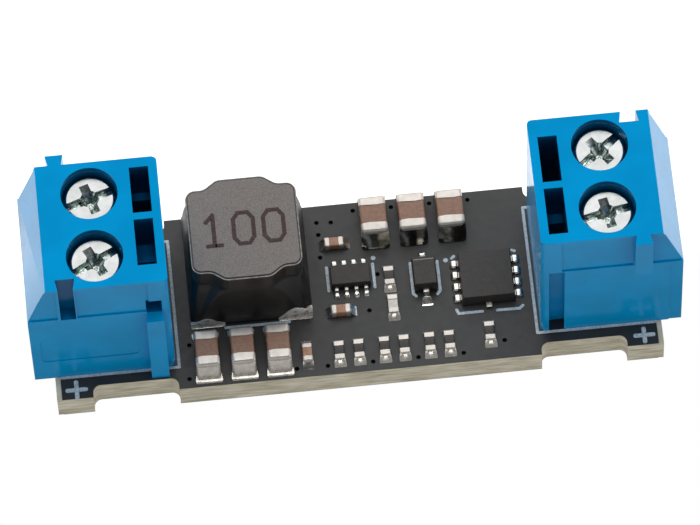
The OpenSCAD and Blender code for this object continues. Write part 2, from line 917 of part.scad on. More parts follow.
module back_capacitor_1() {
    back_capacitor(-1);
}

module back_capacitor_2() {
    back_capacitor(0);
}

module back_capacitor_3() {
    back_capacitor(1);
}

module chip_capacitor(spot, turn) {
    color("#af8269")
        on_board(spot)
            rotate([0, 0, turn])
                ceramic_chip(chip_length, chip_width, chip_cap_height, chip_band, chip_cap_edge_r);
}

module chip_capacitor_1() {
    chip_capacitor(chip_capacitor_spots[0], 90);
}

module chip_capacitor_2() {
    chip_capacitor(chip_capacitor_spots[1], 90);
}

module chip_capacitor_3() {
    chip_capacitor(front_chip_capacitor_spot, 0);
}

module chip_resistor(spot, shade) {
    color(shade)
        on_board(spot)
            ceramic_chip(chip_length, chip_width, chip_res_height, chip_band, chip_res_edge_r);
}

module chip_resistor_1() {
    chip_resistor(chip_resistor_spots[0], "#2a2624");
}

module chip_resistor_2() {
    chip_resistor(chip_resistor_spots[1], "#2a2624");
}

module chip_resistor_3() {
    chip_resistor(chip_resistor_spots[2], "#2a2624");
}

module chip_resistor_4() {
    chip_resistor(chip_resistor_spots[3], "#2a2624");
}

module chip_resistor_5() {
    chip_resistor(chip_resistor_spots[4], "#2a2624");
}

module chip_resistor_6() {
    chip_resistor(chip_resistor_spots[5], "#2a2624");
}

module chip_resistor_7() {
    chip_resistor(chip_resistor_spots[6], "#2a2624");
}

module chip_resistor_8() {
    chip_resistor(middle_resistor_spot, "#2a2624");
}

// This one is soldered with its white underside up
module chip_resistor_9() {
    chip_resistor(turned_resistor_spot, "#d9cfc8");
}

// ---- Diode, controller and power switch ----

// Outline of a moulded body from the side: widest at its parting line
module drafted_profile(width, height, parting) {
    half = width / 2;
    slope = tan(draft_angle);
    polygon([
        [-half + parting * slope, 0], [half - parting * slope, 0], [half, parting],
        [half - (height - parting) * slope, height], [-half + (height - parting) * slope, height],
        [-half, parting]
    ]);
}

// A moulded body with sloping sides
module moulded_body(x, y, height, parting) {
    intersection() {
        rotate([90, 0, 0])
            linear_extrude(2 * y, center = true)
                drafted_profile(x, height, parting);
        rotate([90, 0, 90])
            linear_extrude(2 * x, center = true)
                drafted_profile(y, height, parting);
    }
}

// A gull-wing lead towards -Y that leaves the body at its parting line
module gull_lead(body_y, tip_y, parting, width, thickness) {
    knee = (body_y + tip_y) / 2;
    root_y = body_y - lead_root;
    rotate([90, 0, 90])
        linear_extrude(width, center = true)
            polygon([
                [-root_y, parting - thickness],
                [-root_y, parting],
                [-knee, parting],
                [-knee - thickness / 2, thickness],
                [-tip_y, thickness],
                [-tip_y, 0],
                [-knee + thickness / 2, 0],
                [-knee + thickness / 2, parting - thickness]
            ]);
}

module diode_body() {
    color("#2b2827")
        on_board(diode_spot)
            difference() {
                moulded_body(diode_width, diode_length, diode_height, diode_parting);
                diode_lead();
                rotate([0, 0, 180])
                    diode_lead();
            }
}

module diode_lead() {
    color("#d8d6cf")
        gull_lead(diode_length / 2, diode_span / 2, diode_parting, diode_lead_width, diode_lead_thickness);
}

module diode_back_lead() {
    on_board(diode_spot)
        rotate([0, 0, 180])
            diode_lead();
}

module diode_front_lead() {
    on_board(diode_spot)
        diode_lead();
}

module controller_body() {
    color("#2b2827")
        on_board(controller_spot)
            difference() {
                moulded_body(controller_length, controller_width, controller_height, controller_parting);
                controller_leads();
                rotate([0, 0, 180])
                    controller_leads();
            }
}

module controller_leads() {
    color("#d8d6cf")
        for (i = [-1.5:1:1.5])
            translate([i * controller_pitch, 0, 0])
                gull_lead(
                    controller_width / 2, controller_span / 2, controller_parting,
                    controller_lead_width, controller_lead_thickness
                );
}

module controller_back_leads() {
    on_board(controller_spot)
        rotate([0, 0, 180])
            controller_leads();
}

module controller_front_leads() {
    on_board(controller_spot)
        controller_leads();
}

module power_switch_body() {
    color("#2b2827")
        on_board(switch_spot)
            difference() {
                moulded_body(switch_body, switch_body, switch_height, switch_lead_thickness);
                power_switch_metal();
            }
}

// All the metal in the power switch's underside
module power_switch_metal() {
    switch_leads();
    mirror([1, 0, 0])
        switch_leads();
    switch_pad_shape();
}

// Four flat leads on the +X side
module switch_leads() {
    root = switch_body / 2 - switch_lead_root;
    for (i = [-1.5:1:1.5])
        translate([0, i * switch_pitch, 0])
            span_box(
                [root, -switch_lead_width / 2, 0],
                [switch_span / 2, switch_lead_width / 2, switch_lead_thickness]
            );
}

// The heat pad under the body, with its tie bar at the front
module switch_pad_shape() {
    pad = switch_body / 2 - pad_setback;
    bar = tie_bar_width / 2;
    span_box([-pad, -pad, 0], [pad, pad + pad_reach, switch_lead_thickness]);
    span_box([-bar, -switch_span / 2, 0], [bar, -pad + eps, switch_lead_thickness]);
}

module power_switch_left_leads() {
    color("#d8d6cf")
        on_board(switch_spot)
            mirror([1, 0, 0])
                switch_leads();
}

module power_switch_right_leads() {
    color("#d8d6cf")
        on_board(switch_spot)
            switch_leads();
}

module power_switch_pad() {
    color("#d8d6cf")
        on_board(switch_spot)
            switch_pad_shape();
}

// ---- Solder ----

// A hollow-faced joint against an end that faces -Y: half is the distance of that end
module fillet(half, width, height, toe) {
    rotate([90, 0, 90])
        linear_extrude(width, center = true)
            polygon([
                [-half, 0],
                [-half - toe, 0],
                [-half - toe, solder_edge],
                [-half - toe * 0.5, height * 0.22],
                [-half - toe * 0.2, height * 0.55],
                [-half, height]
            ]);
}

// The joints at both ends of a chip; height is how far they climb
module chip_joints(spot, turn, length, width, height, toe) {
    on_board(spot)
        for (end = [0, 180])
            rotate([0, 0, turn + end])
                fillet(length / 2, width, height, toe);
}

module top_solder() {
    cap_climb = chip_cap_height * solder_climb;
    color("#dedcd6") {
        for (i = [-1:1]) {
            chip_joints(
                [front_cap_x + i * front_cap_pitch, front_cap_y], 0,
                cap_length, front_cap_width, front_cap_height * large_climb, large_toe
            );
            chip_joints(
                [back_cap_x + i * back_cap_pitch, back_cap_y], 0,
                cap_length, back_cap_width, back_cap_height * large_climb, back_toe
            );
        }
        for (spot = concat(chip_resistor_spots, [middle_resistor_spot, turned_resistor_spot]))
            chip_joints(spot, 0, chip_length, chip_width, chip_res_height * solder_climb, small_toe);
        chip_joints(front_chip_capacitor_spot, 0, chip_length, chip_width, cap_climb, small_toe);
        for (spot = chip_capacitor_spots)
            chip_joints(spot, 90, chip_length, chip_width, cap_climb, small_toe);
        for (side = [-1, 1])
            at_inductor()
                translate([side * (inductor_base - terminal_width) / 2, 0, 0])
                    fillet(inductor_base / 2, terminal_width, terminal_height * large_climb, small_toe);
        for (turn = [0, 180])
            on_board(diode_spot)
                rotate([0, 0, turn])
                    fillet(diode_span / 2, 2 * diode_lead_width, diode_lead_thickness, small_toe);
        for (turn = [0, 180], i = [-1.5:1:1.5])
            on_board(controller_spot)
                rotate([0, 0, turn])
                    translate([i * controller_pitch, 0, 0])
                        fillet(controller_span / 2, controller_lead_width, controller_lead_thickness, fine_toe);
        for (turn = [-90, 90], i = [-1.5:1:1.5])
            on_board(switch_spot)
                rotate([0, 0, turn])
                    translate([i * switch_pitch, 0, 0])
                        fillet(switch_span / 2, switch_lead_width, switch_lead_thickness, fine_toe);
    }
}

// Solder round one pin: it fills the hole and hangs below the board as a hollow cone
module pin_joint() {
    top_r = cone_d / 2;
    pin_r = pin_hole_d / 2;
    color("#dedcd6")
        difference() {
            translate([pin_x, 0, -board_thickness])
                rotate_extrude($fn = small_fn)
                    polygon([
                        [0, board_thickness],
                        [pin_r, board_thickness],
                        [pin_r, 0],
                        [top_r, 0],
                        [top_r, -solder_edge],
                        [pin_r + (top_r - pin_r) * 0.45, -cone_height * 0.3],
                        [pin_r + (top_r - pin_r) * 0.1, -cone_height * 0.75],
                        [pin_r - solder_edge, -cone_height],
                        [0, -cone_height]
                    ]);
            span_box([leg_x, -pin_width / 2, -board_top], [leg_x + sheet, pin_width / 2, 1]);
        }
}

module pin_solder() {
    for (side = [-1, 1], row = [-1, 1])
        at_pole(side, row)
            pin_joint();
}

circuit_board();
left_terminal_housing();
right_terminal_housing();
left_back_screw();
left_front_screw();
right_back_screw();
right_front_screw();
left_back_clamp();
left_front_clamp();
right_back_clamp();
right_front_clamp();
left_back_contact();
left_front_contact();
right_back_contact();
right_front_contact();
inductor_core();
inductor_winding();
inductor_resin();
inductor_left_terminal();
inductor_right_terminal();
front_capacitor_1();
front_capacitor_2();
front_capacitor_3();
back_capacitor_1();
back_capacitor_2();
back_capacitor_3();
chip_capacitor_1();
chip_capacitor_2();
chip_capacitor_3();
chip_resistor_1();
chip_resistor_2();
chip_resistor_3();
chip_resistor_4();
chip_resistor_5();
chip_resistor_6();
chip_resistor_7();
chip_resistor_8();
chip_resistor_9();
diode_body();
diode_back_lead();
diode_front_lead();
controller_body();
controller_back_leads();
controller_front_leads();
power_switch_body();
power_switch_left_leads();
power_switch_right_leads();
power_switch_pad();
top_solder();
pin_solder();
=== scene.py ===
"""Looks of a buck converter module: a notched circuit board with two blue screw terminal blocks, a
shielded inductor, ceramic capacitors, chip resistors, a diode, a controller and a power switch.
Sizes in the code are millimetres unless a name says otherwise; Blender gets metres."""
import math

import bmesh
import bpy
from mathutils import Matrix, Vector


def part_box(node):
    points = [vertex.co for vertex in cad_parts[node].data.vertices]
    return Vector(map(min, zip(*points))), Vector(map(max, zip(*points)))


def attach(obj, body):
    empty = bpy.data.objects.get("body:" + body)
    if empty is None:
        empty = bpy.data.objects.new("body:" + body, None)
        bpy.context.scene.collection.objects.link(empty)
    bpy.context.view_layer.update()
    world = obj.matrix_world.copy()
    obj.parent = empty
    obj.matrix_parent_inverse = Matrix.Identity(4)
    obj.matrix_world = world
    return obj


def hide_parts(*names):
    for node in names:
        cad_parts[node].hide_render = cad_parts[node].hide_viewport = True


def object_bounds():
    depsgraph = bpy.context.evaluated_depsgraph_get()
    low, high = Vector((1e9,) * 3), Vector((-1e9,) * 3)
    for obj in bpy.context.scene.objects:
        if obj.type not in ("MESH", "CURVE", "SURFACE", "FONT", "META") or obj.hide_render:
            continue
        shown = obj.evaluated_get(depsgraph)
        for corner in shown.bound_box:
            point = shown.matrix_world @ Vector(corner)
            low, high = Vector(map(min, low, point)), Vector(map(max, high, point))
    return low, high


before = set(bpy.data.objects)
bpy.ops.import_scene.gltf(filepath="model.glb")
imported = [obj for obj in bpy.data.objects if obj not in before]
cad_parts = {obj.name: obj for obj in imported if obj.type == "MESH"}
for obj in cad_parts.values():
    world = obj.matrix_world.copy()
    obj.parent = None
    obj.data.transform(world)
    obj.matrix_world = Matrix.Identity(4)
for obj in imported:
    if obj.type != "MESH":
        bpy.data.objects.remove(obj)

cad_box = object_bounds()
MM = 0.001
# The body of everything that doesn't move
ONE = "module"


# ---- Working by hand: selecting, shaping and finishing ----

def metres(*values):
    return Vector(values) * MM


def only(*objs):
    """Selects these objects alone; the last one becomes active."""
    bpy.ops.object.select_all(action="DESELECT")
    for obj in objs:
        obj.select_set(True)
    bpy.context.view_layer.objects.active = objs[-1]


def edit(obj, kind):
    """Opens the mesh with nothing selected; kind is VERT, EDGE or FACE."""
    only(obj)
    bpy.ops.object.mode_set(mode="EDIT")
    bpy.ops.mesh.select_mode(type=kind)
    select_all("DESELECT")


def close():
    bpy.ops.object.mode_set(mode="OBJECT")


def place_of(element):
    """Middle of a vertex, edge or face in millimetres."""
    if isinstance(element, bmesh.types.BMVert):
        return element.co / MM
    if isinstance(element, bmesh.types.BMEdge):
        return (element.verts[0].co + element.verts[1].co) / 2 / MM
    return element.calc_center_median() / MM


def select_all(action="SELECT"):
    bpy.ops.mesh.select_all(action=action)


def outwards():
    """Turns every face outwards."""
    select_all()
    bpy.ops.mesh.normals_make_consistent(inside=False)


def pick(test, kind=None):
    """Selects the elements that pass the test, which gets a place in millimetres and the element itself."""
    if kind:
        bpy.ops.mesh.select_mode(type=kind)
    mesh = bpy.context.edit_object.data
    select_all("DESELECT")
    bm = bmesh.from_edit_mesh(mesh)
    elements = {"VERT": bm.verts, "EDGE": bm.edges, "FACE": bm.faces}
    for element in elements[next(iter(bm.select_mode))]:
        if test(place_of(element), element):
            element.select_set(True)
    bm.select_flush_mode()
    bmesh.update_edit_mesh(mesh)


def along(axis):
    """Test for the edges that run along one axis (0 for X, 1 for Y, 2 for Z)."""
    def test(place, edge):
        run = edge.verts[1].co - edge.verts[0].co
        return abs(run[axis]) > 0.99 * run.length
    return test


def shift(x=0, y=0, z=0):
    bpy.ops.transform.translate(value=metres(x, y, z))


def scale(x=1, y=1, z=1, about=(0, 0, 0)):
    bpy.ops.transform.resize(value=(x, y, z), center_override=metres(*about))


def settle(obj):
    """Puts the object's place into its mesh."""
    only(obj)
    bpy.ops.object.transform_apply(location=True, rotation=True, scale=True)
    return obj


def block(name, low, high):
    """A box between two corners."""
    low, high = Vector(low), Vector(high)
    bpy.ops.mesh.primitive_cube_add(size=1, location=(low + high) / 2 * MM, scale=(high - low) * MM)
    obj = bpy.context.object
    obj.name = name
    return settle(obj)


def finish_modifier(obj, kind, **settings):
    """Adds a modifier and applies it."""
    only(obj)
    modifier = obj.modifiers.new(kind.title(), kind)
    for key, value in settings.items():
        setattr(modifier, key, value)
    bpy.ops.object.modifier_apply(modifier=modifier.name)
    return obj


def round_edges(obj, radius, segments=3, sharper_than=35):
    """Rounds every edge that turns by more than an angle."""
    return finish_modifier(
        obj, "BEVEL", width=radius * MM, segments=segments, limit_method="ANGLE",
        angle_limit=math.radians(sharper_than), use_clamp_overlap=True, harden_normals=False)


def smooth(obj, angle=40):
    """Smooth shading up to an angle; large flat faces stay flat."""
    only(obj)
    bpy.ops.object.shade_smooth_by_angle(angle=math.radians(angle))
    return finish_modifier(obj, "WEIGHTED_NORMAL", keep_sharp=True, weight=90)


def copy_of(obj, name, move=(0, 0, 0), turn=0, about=(0, 0, 0)):
    """A copy with its own mesh, turned about Z round a point and then moved."""
    only(obj)
    bpy.ops.object.duplicate(linked=False)
    new = bpy.context.object
    new.name = name
    pivot = Matrix.Translation(metres(*about))
    new.matrix_world = (
        Matrix.Translation(metres(*move)) @ pivot @ Matrix.Rotation(math.radians(turn), 4, "Z") @ pivot.inverted())
    return settle(new)


def turned(obj, turn, about):
    """The same piece, turned about Z round a point."""
    name = obj.name
    new = copy_of(obj, name, turn=turn, about=about)
    bpy.data.objects.remove(obj)
    new.name = name
    return new


def mm_box(node):
    """Lowest and highest corner of a CAD node in millimetres."""
    low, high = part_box(node)
    return low / MM, high / MM


def middle_of(node):
    low, high = mm_box(node)
    return (low + high) / 2


def from_cad(node, name):
    """A merged copy of a CAD node, with its flat faces whole again."""
    obj = bpy.data.objects.new(name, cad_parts[node].data.copy())
    bpy.context.scene.collection.objects.link(obj)
    obj.data.materials.clear()
    edit(obj, "VERT")
    select_all()
    bpy.ops.mesh.remove_doubles(threshold=0.002 * MM)
    bpy.ops.mesh.dissolve_limited(angle_limit=math.radians(0.5))
    close()
    return obj


def join(name, *objs):
    """Makes one piece of several."""
    only(*objs)
    bpy.ops.object.join()
    bpy.context.object.name = name
    return bpy.context.object


def dress(obj, material):
    obj.data.materials.clear()
    obj.data.materials.append(material)


def deliver(obj, body, material, slot, *nodes):
    """A finished piece: its material, the body it rides on, and the nodes it stands for, which are hidden. slot is not
    used.
    """
    dress(obj, material)
    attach(obj, body)
    if nodes:
        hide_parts(*nodes)
    return obj


# ---- Materials ----

def colour(code):
    """sRGB hex to linear RGBA."""
    def linear(c):
        return c / 12.92 if c <= 0.04045 else ((c + 0.055) / 1.055) ** 2.4
    return tuple(linear(int(code[i:i + 2], 16) / 255) for i in (1, 3, 5)) + (1.0,)


def add(tree, kind, settings=None, stops=(), **sockets):
    """Adds a node: its settings, a ramp's colour stops, and for a socket a value or another's output."""
    node = tree.nodes.new(kind)
    for key, value in (settings or {}).items():
        setattr(node, key, value)
    if stops:
        elements = node.color_ramp.elements
        while len(elements) < len(stops):
            elements.new(0.5)
        for element, (position, code) in zip(elements, stops):
            element.position = position
            element.color = colour(code)
    for key, value in sockets.items():
        socket = node.inputs[int(key[1:]) if key[0] == "_" else key.replace("_", " ")]
        if isinstance(value, bpy.types.NodeSocket):
            tree.links.new(value, socket)
        else:
            socket.default_value = value
    return node


def start(name):
    """A new material, still without nodes."""
    material = bpy.data.materials.new(name)
    material.use_nodes = True
    material.node_tree.nodes.clear()
    return material, material.node_tree


def grain(tree, size, detail=3.0, stretch=(1, 1, 1)):
    """Noise with grains of about that many millimetres, on object coordinates."""
    place = add(tree, "ShaderNodeTexCoord").outputs["Object"]
    mapped = add(tree, "ShaderNodeMapping", Vector=place, Scale=stretch).outputs[0]
    return add(tree, "ShaderNodeTexNoise", Vector=mapped, Scale=1 / (size * MM), Detail=detail).outputs[0]


def finish(material, colours, gloss, relief, **shader_values):
    """Puts the shader in. gloss is a pattern with the lowest and highest roughness; relief is a
    pattern with its full height in millimetres."""
    tree = material.node_tree
    (shine, low, high), (height, depth) = gloss, relief
    roughness = add(tree, "ShaderNodeMapRange", Value=shine, From_Min=0.3, From_Max=0.7, To_Min=low, To_Max=high)
    bump = add(tree, "ShaderNodeBump", Height=height, Distance=depth * MM)
    shader = add(tree, "ShaderNodeBsdfPrincipled", Base_Color=colours, Roughness=roughness.outputs[0],
                 Normal=bump.outputs["Normal"], **shader_values)
    add(tree, "ShaderNodeOutputMaterial", Surface=shader.outputs["BSDF"])
    return material


def coat(name, tint, gloss, relief, **shader_values):
    """A surface of three grains, sizes in millimetres: tint is a size, a detail and colour stops;
    gloss is a size with the lowest and highest roughness; relief is a size, a detail, a height and
    perhaps a stretch."""
    material, tree = start(name)
    size, detail, *stops = tint
    colours = add(tree, "ShaderNodeValToRGB", stops=stops, Fac=grain(tree, size, detail)).outputs["Color"]
    size, low, high = gloss
    shine = grain(tree, size)
    size, detail, depth, *stretch = relief
    height = grain(tree, size, detail, *stretch)
    return finish(material, colours, (shine, low, high), (height, depth), **shader_values)


# Polyamide, injection moulded in a spark-finished tool: an even blue with a soft sheen that turns pale
# at a slant, and the faint clouds of flowing plastic. Faces inside the slots and holes are a darker blue: painted
# shade.
def blue_polyamide():
    material, tree = start("blue_polyamide")
    skin = add(tree, "ShaderNodeValToRGB", stops=[(0.35, "#008ec6"), (0.65, "#0096d1")],
               Fac=grain(tree, 2.2, 2)).outputs["Color"]
    cored = add(tree, "ShaderNodeAttribute", {"attribute_name": "cored"}).outputs["Fac"]
    both = add(tree, "ShaderNodeMix", {"data_type": "RGBA"}, _0=cored, _6=skin, _7=colour("#005f8e")).outputs[2]
    return finish(material, both, (grain(tree, 0.5), 0.13, 0.22), (grain(tree, 0.5, 2), 0.003),
                  IOR=1.5, Specular_Tint=colour("#0090ff"))


# Steel, bright zinc plated in a barrel: nearly white on the face of the screw heads. Below that face, in the slots
# and the crosses, the colour is a mottled darker grey-green: painted shade.
def zinc_plate():
    material, tree = start("zinc_plate")
    place = add(tree, "ShaderNodeTexCoord").outputs["Object"]
    height = add(tree, "ShaderNodeSeparateXYZ", Vector=place).outputs["Z"]
    face = SCREW_TOP * MM
    above_recess_shade = add(tree, "ShaderNodeMapRange", {"interpolation_type": "SMOOTHSTEP"}, Value=height,
                From_Min=face - 0.16 * MM, From_Max=face - 0.03 * MM).outputs[0]
    # The darker mix below the face of the head is painted shade in the recesses.
    recess_shade_zinc = add(tree, "ShaderNodeValToRGB", stops=[(0.3, "#7a8783"), (0.5, "#b7c2be"), (0.7, "#e6ebe8")],
               Fac=grain(tree, 0.2, 3)).outputs["Color"]
    bright = add(tree, "ShaderNodeValToRGB", stops=[(0.3, "#b2b5b4"), (0.7, "#c2c4c4")],
                 Fac=grain(tree, 0.5, 2)).outputs["Color"]
    both = add(tree, "ShaderNodeMix", {"data_type": "RGBA"}, _0=above_recess_shade, _6=recess_shade_zinc, _7=bright).outputs[2]
    return finish(material, both, (grain(tree, 0.3), 0.16, 0.28), (grain(tree, 0.25, 2), 0.003), Metallic=1.0)


# Epoxy solder mask, black and semi-matt: the glass cloth under it shows as the faintest weave.
def black_solder_mask():
    material, tree = start("black_solder_mask")
    place = add(tree, "ShaderNodeTexCoord").outputs["Object"]
    # Threads of the glass cloth lie 0.5 mm apart; a wave of scale 1 has bands a tenth of pi wide
    bands = math.pi / 10 / (0.5 * MM)
    warp = add(tree, "ShaderNodeTexWave", {"bands_direction": "X"}, Vector=place, Scale=bands).outputs["Fac"]
    weft = add(tree, "ShaderNodeTexWave", {"bands_direction": "Y"}, Vector=place, Scale=bands).outputs["Fac"]
    cloth = add(tree, "ShaderNodeMath", {"operation": "ADD"}, _0=warp, _1=weft).outputs[0]
    height = add(tree, "ShaderNodeMath", {"operation": "MULTIPLY_ADD"}, _0=cloth, _1=0.15,
                 _2=grain(tree, 0.08, 4)).outputs[0]
    colours = add(tree, "ShaderNodeValToRGB", stops=[(0.3, "#262727"), (0.7, "#2d2d2d")],
                  Fac=grain(tree, 1.2)).outputs["Color"]
    return finish(material, colours, (grain(tree, 0.4), 0.36, 0.46), (height, 0.003), IOR=1.5)


# Glass-epoxy laminate, routed at its edge: pale beige, with the layers of glass cloth as fine lines
# along the edge and short lighter streaks where the cutter broke the fibres.
def glass_epoxy():
    material, tree = start("glass_epoxy")
    layers = grain(tree, 0.16, 3, (0.12, 0.12, 1.6))
    streaks = grain(tree, 0.5, 4, (0.35, 0.35, 1.3))
    share = add(tree, "ShaderNodeMath", {"operation": "MULTIPLY"}, _0=streaks, _1=0.4).outputs[0]
    both = add(tree, "ShaderNodeMath", {"operation": "MULTIPLY_ADD"}, _0=layers, _1=0.6, _2=share).outputs[0]
    colours = add(tree, "ShaderNodeValToRGB", Fac=both, stops=[
        (0.32, "#a39b82"), (0.45, "#c4bca4"), (0.56, "#d8d1bc"), (0.68, "#ece6d5")]).outputs["Color"]
    return finish(material, colours, (streaks, 0.55, 0.75), (both, 0.03), IOR=1.5)


# Barium titanate, tape-cast and fired: close brown ceramic with a dry half-gloss.
def fired_ceramic(name, dark, light):
    return coat(name, (0.15, 4, (0.3, dark), (0.7, light)), (0.2, 0.35, 0.5), (0.06, 4, 0.004), IOR=1.6)


SCREW_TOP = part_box("left_back_screw")[1].z / MM
blue = blue_polyamide()
zinc = zinc_plate()
mask = black_solder_mask()
laminate = glass_epoxy()
large_ceramic = fired_ceramic("large_chip_ceramic", "#7d5843", "#946a51")
small_ceramic = fired_ceramic("small_chip_ceramic", "#9b6c50", "#b98869")

# Steel, zinc plated and passivated: a grey, slightly blue metal.
clamp_zinc = coat("clamp_plate", (0.4, 3, (0.3, "#9aa0a3"), (0.7, "#c3c8ca")),
                  (0.3, 0.25, 0.4), (0.2, 3, 0.005), Metallic=1.0)

# Copper alloy sheet, tinned by dipping: a warm grey metal with the soft lines of rolling.
tinned = coat("tinned_sheet", (0.25, 3, (0.3, "#b5b2aa"), (0.7, "#cfcdc6")),
              (0.12, 0.22, 0.38), (0.05, 3, 0.003, (0.2, 1, 1)), Metallic=1.0)

# Tin over a folded copper foot, wetted and scraped: mottled grey metal with dark specks of resin.
rough_tin = coat("rough_tin_coat", (0.22, 4, (0.32, "#8d8984"), (0.42, "#d3cfc8"), (0.7, "#f0ede7")),
                 (0.12, 0.45, 0.6), (0.16, 3, 0.01), Metallic=0.3)

# Tin-silver solder, melted and frozen: a bright skin that is slightly rippled where it set.
tin_solder = coat("solder", (0.3, 2, (0.3, "#dddbd6"), (0.7, "#eeece7")),
                  (0.25, 0.18, 0.3), (0.25, 2, 0.009), Metallic=1.0)

# The same solder, painted darker on the steep back joints as the shade of the dark surroundings they mirror; smooth,
# with a few bright lines.
dark_painted_solder = coat("fluxed_solder", (0.3, 2, (0.3, "#84827b"), (0.7, "#9c9a92")),
                  (0.25, 0.12, 0.2), (0.25, 2, 0.006), Metallic=1.0)

# The same solder where it was drawn up thin over plated ends and cooled slowly: matt and creamy.
matt_tin = coat("matt_solder", (0.3, 3, (0.3, "#c9c3ba"), (0.7, "#e2ddd4")),
                (0.2, 0.22, 0.34), (0.2, 3, 0.003), Metallic=0.55)

# Barrel-plated tin over fired silver on a ceramic chip: satin white metal with fine pits.
ends = coat("plated_ends", (0.4, 2, (0.3, "#c9c3bb"), (0.7, "#d8d2ca")),
            (0.3, 0.3, 0.4), (0.2, 2, 0.002), Metallic=0.6)

# Screen-printed epoxy ink: cool white, a little thin where the mesh of the screen held it back.
ink = coat("printing_ink", (0.12, 4, (0.3, "#9fb0bd"), (0.55, "#c4d1da"), (0.7, "#d6e0e6")),
           (0.1, 0.5, 0.7), (0.06, 3, 0.006), IOR=1.5)

# Nickel-zinc ferrite, pressed, fired and ground flat: dull grey-brown with fine dark pores.
ferrite = coat("ground_ferrite", (0.07, 5, (0.28, "#575049"), (0.45, "#6a625e"), (0.7, "#7b7470")),
               (0.3, 0.42, 0.55), (0.07, 5, 0.006), IOR=1.6)

# Pale grey ferrite, half polished: a painted highlight on the inductor's rim, and the diode's cathode line.
pale_highlight_and_mark = coat("worn_ferrite", (0.25, 4, (0.3, "#5f5a56"), (0.7, "#a5a19c")),
            (0.1, 0.25, 0.4), (0.1, 3, 0.003), IOR=1.6)

# Varnish over the core's sides: dark brown-black, wet-looking, a little wavy.
lacquer = coat("ferrite_lacquer", (0.5, 3, (0.3, "#241f1b"), (0.7, "#2c2723")),
               (0.4, 0.3, 0.4), (0.3, 2, 0.003), IOR=1.55)

# Epoxy resin filled with ferrite powder, run in and baked: black and glossy, with a smooth skin.
resin = coat("black_resin", (0.8, 3, (0.35, "#0f0e0e"), (0.65, "#191716")),
             (0.5, 0.4, 0.5), (0.7, 2, 0.01), IOR=1.5)

# Laser mark on ferrite: scorched dark brown, rough.
mark = coat("scorched_mark", (0.08, 3, (0.3, "#33211f"), (0.7, "#4b3431")),
            (0.1, 0.6, 0.8), (0.05, 3, 0.006), IOR=1.5)

# Polyurethane-enamelled copper wire: orange-red metal under a clear coat.
copper = coat("enamelled_copper", (0.4, 3, (0.3, "#a9562f"), (0.7, "#c06a3c")),
              (0.1, 0.2, 0.35), (0.1, 3, 0.003), Metallic=1.0, Coat_Weight=0.7, Coat_Roughness=0.08)

# Glaze over a resistor's film: near-black glass with a brown cast.
glaze = coat("resistor_glaze", (0.2, 3, (0.3, "#15100e"), (0.7, "#271f1a")),
             (0.1, 0.15, 0.3), (0.2, 3, 0.008), IOR=1.5)

# Alumina, pressed and fired: chalky white with a faint warm cast.
white_alumina = coat("alumina", (0.12, 4, (0.3, "#cfc7c0"), (0.7, "#e6dfd8")),
                     (0.1, 0.4, 0.55), (0.05, 4, 0.004), IOR=1.7)

# Silica-filled epoxy, transfer moulded: charcoal, matt from the eroded mould, with fine sparkle.
charcoal = coat("moulding_compound", (0.06, 5, (0.3, "#221e1b"), (0.7, "#332e2a")),
                (0.2, 0.42, 0.55), (0.045, 4, 0.006), IOR=1.5)


# ---- Board: laminate, solder mask, printing ----

board_high = mm_box("circuit_board")[1]
MASK_THICKNESS = 0.03
MASK_TOP = board_high.z + MASK_THICKNESS
# The mask and its copper stop short of the two short ends, where the boards were cut apart
MASK_SETBACK = 0.26
# How far the mask sags into a via, the length that only the edges round a via stay under, and the
# part of the board that holds the vias
VIA_SAG = 0.07
VIA_EDGE = 0.15
VIAS_X, VIAS_Y = 9, 4.6


def mask_sheet(name, facing):
    """Solder mask on one face: it sags into the vias and closes them."""
    obj = from_cad("circuit_board", name)
    edit(obj, "FACE")
    pick(lambda p, f: f.normal.z * facing < 0.99)
    bpy.ops.mesh.delete(type="FACE")
    for side in (-1, 1):
        select_all()
        bpy.ops.mesh.bisect(plane_co=metres(side * (board_high.x - MASK_SETBACK), 0, 0),
                            plane_no=(side, 0, 0), clear_outer=True, threshold=1e-7)
    bpy.ops.mesh.select_mode(type="EDGE")
    pick(lambda p, e: e.is_boundary and e.calc_length() < VIA_EDGE * MM and abs(p.x) < VIAS_X and abs(p.y) < VIAS_Y)
    for drop in (VIA_SAG, VIA_SAG / 2):
        bpy.ops.mesh.extrude_edges_move(TRANSFORM_OT_translate={"value": metres(0, 0, -facing * drop)})
    bpy.ops.mesh.merge(type="COLLAPSE")
    close()
    finish_modifier(obj, "SOLIDIFY", thickness=MASK_THICKNESS * MM, offset=1, use_even_offset=True)
    return deliver(obj, ONE, mask, "board")


mask_sheet("solder_mask_top", 1)
mask_sheet("solder_mask_bottom", -1)

dress(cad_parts["circuit_board"], laminate)

LINE = 0.15
INK_THICKNESS = 0.015
# Lifts a line over the one that it crosses
OVER = 0.004


def stripe(start_point, end_point, width=LINE, lift=0.0):
    """A printed line with round ends."""
    a, b = Vector(start_point), Vector(end_point)
    length = (b - a).length + width
    middle = (a + b) / 2
    bpy.ops.mesh.primitive_plane_add(size=1, location=metres(middle.x, middle.y, MASK_TOP + lift))
    obj = bpy.context.object
    obj.scale = (length * MM, width * MM, 1)
    obj.rotation_euler.z = math.atan2(b.y - a.y, b.x - a.x)
    settle(obj)
    edit(obj, "VERT")
    select_all()
    bpy.ops.mesh.bevel(offset=width * 0.46 * MM, segments=4, affect="VERTICES")
    close()
    return obj


def dot(x, y, diameter):
    """A printed dot."""
    bpy.ops.mesh.primitive_circle_add(vertices=24, radius=diameter / 2 * MM, fill_type="NGON",
                                      location=metres(x, y, MASK_TOP))
    return settle(bpy.context.object)


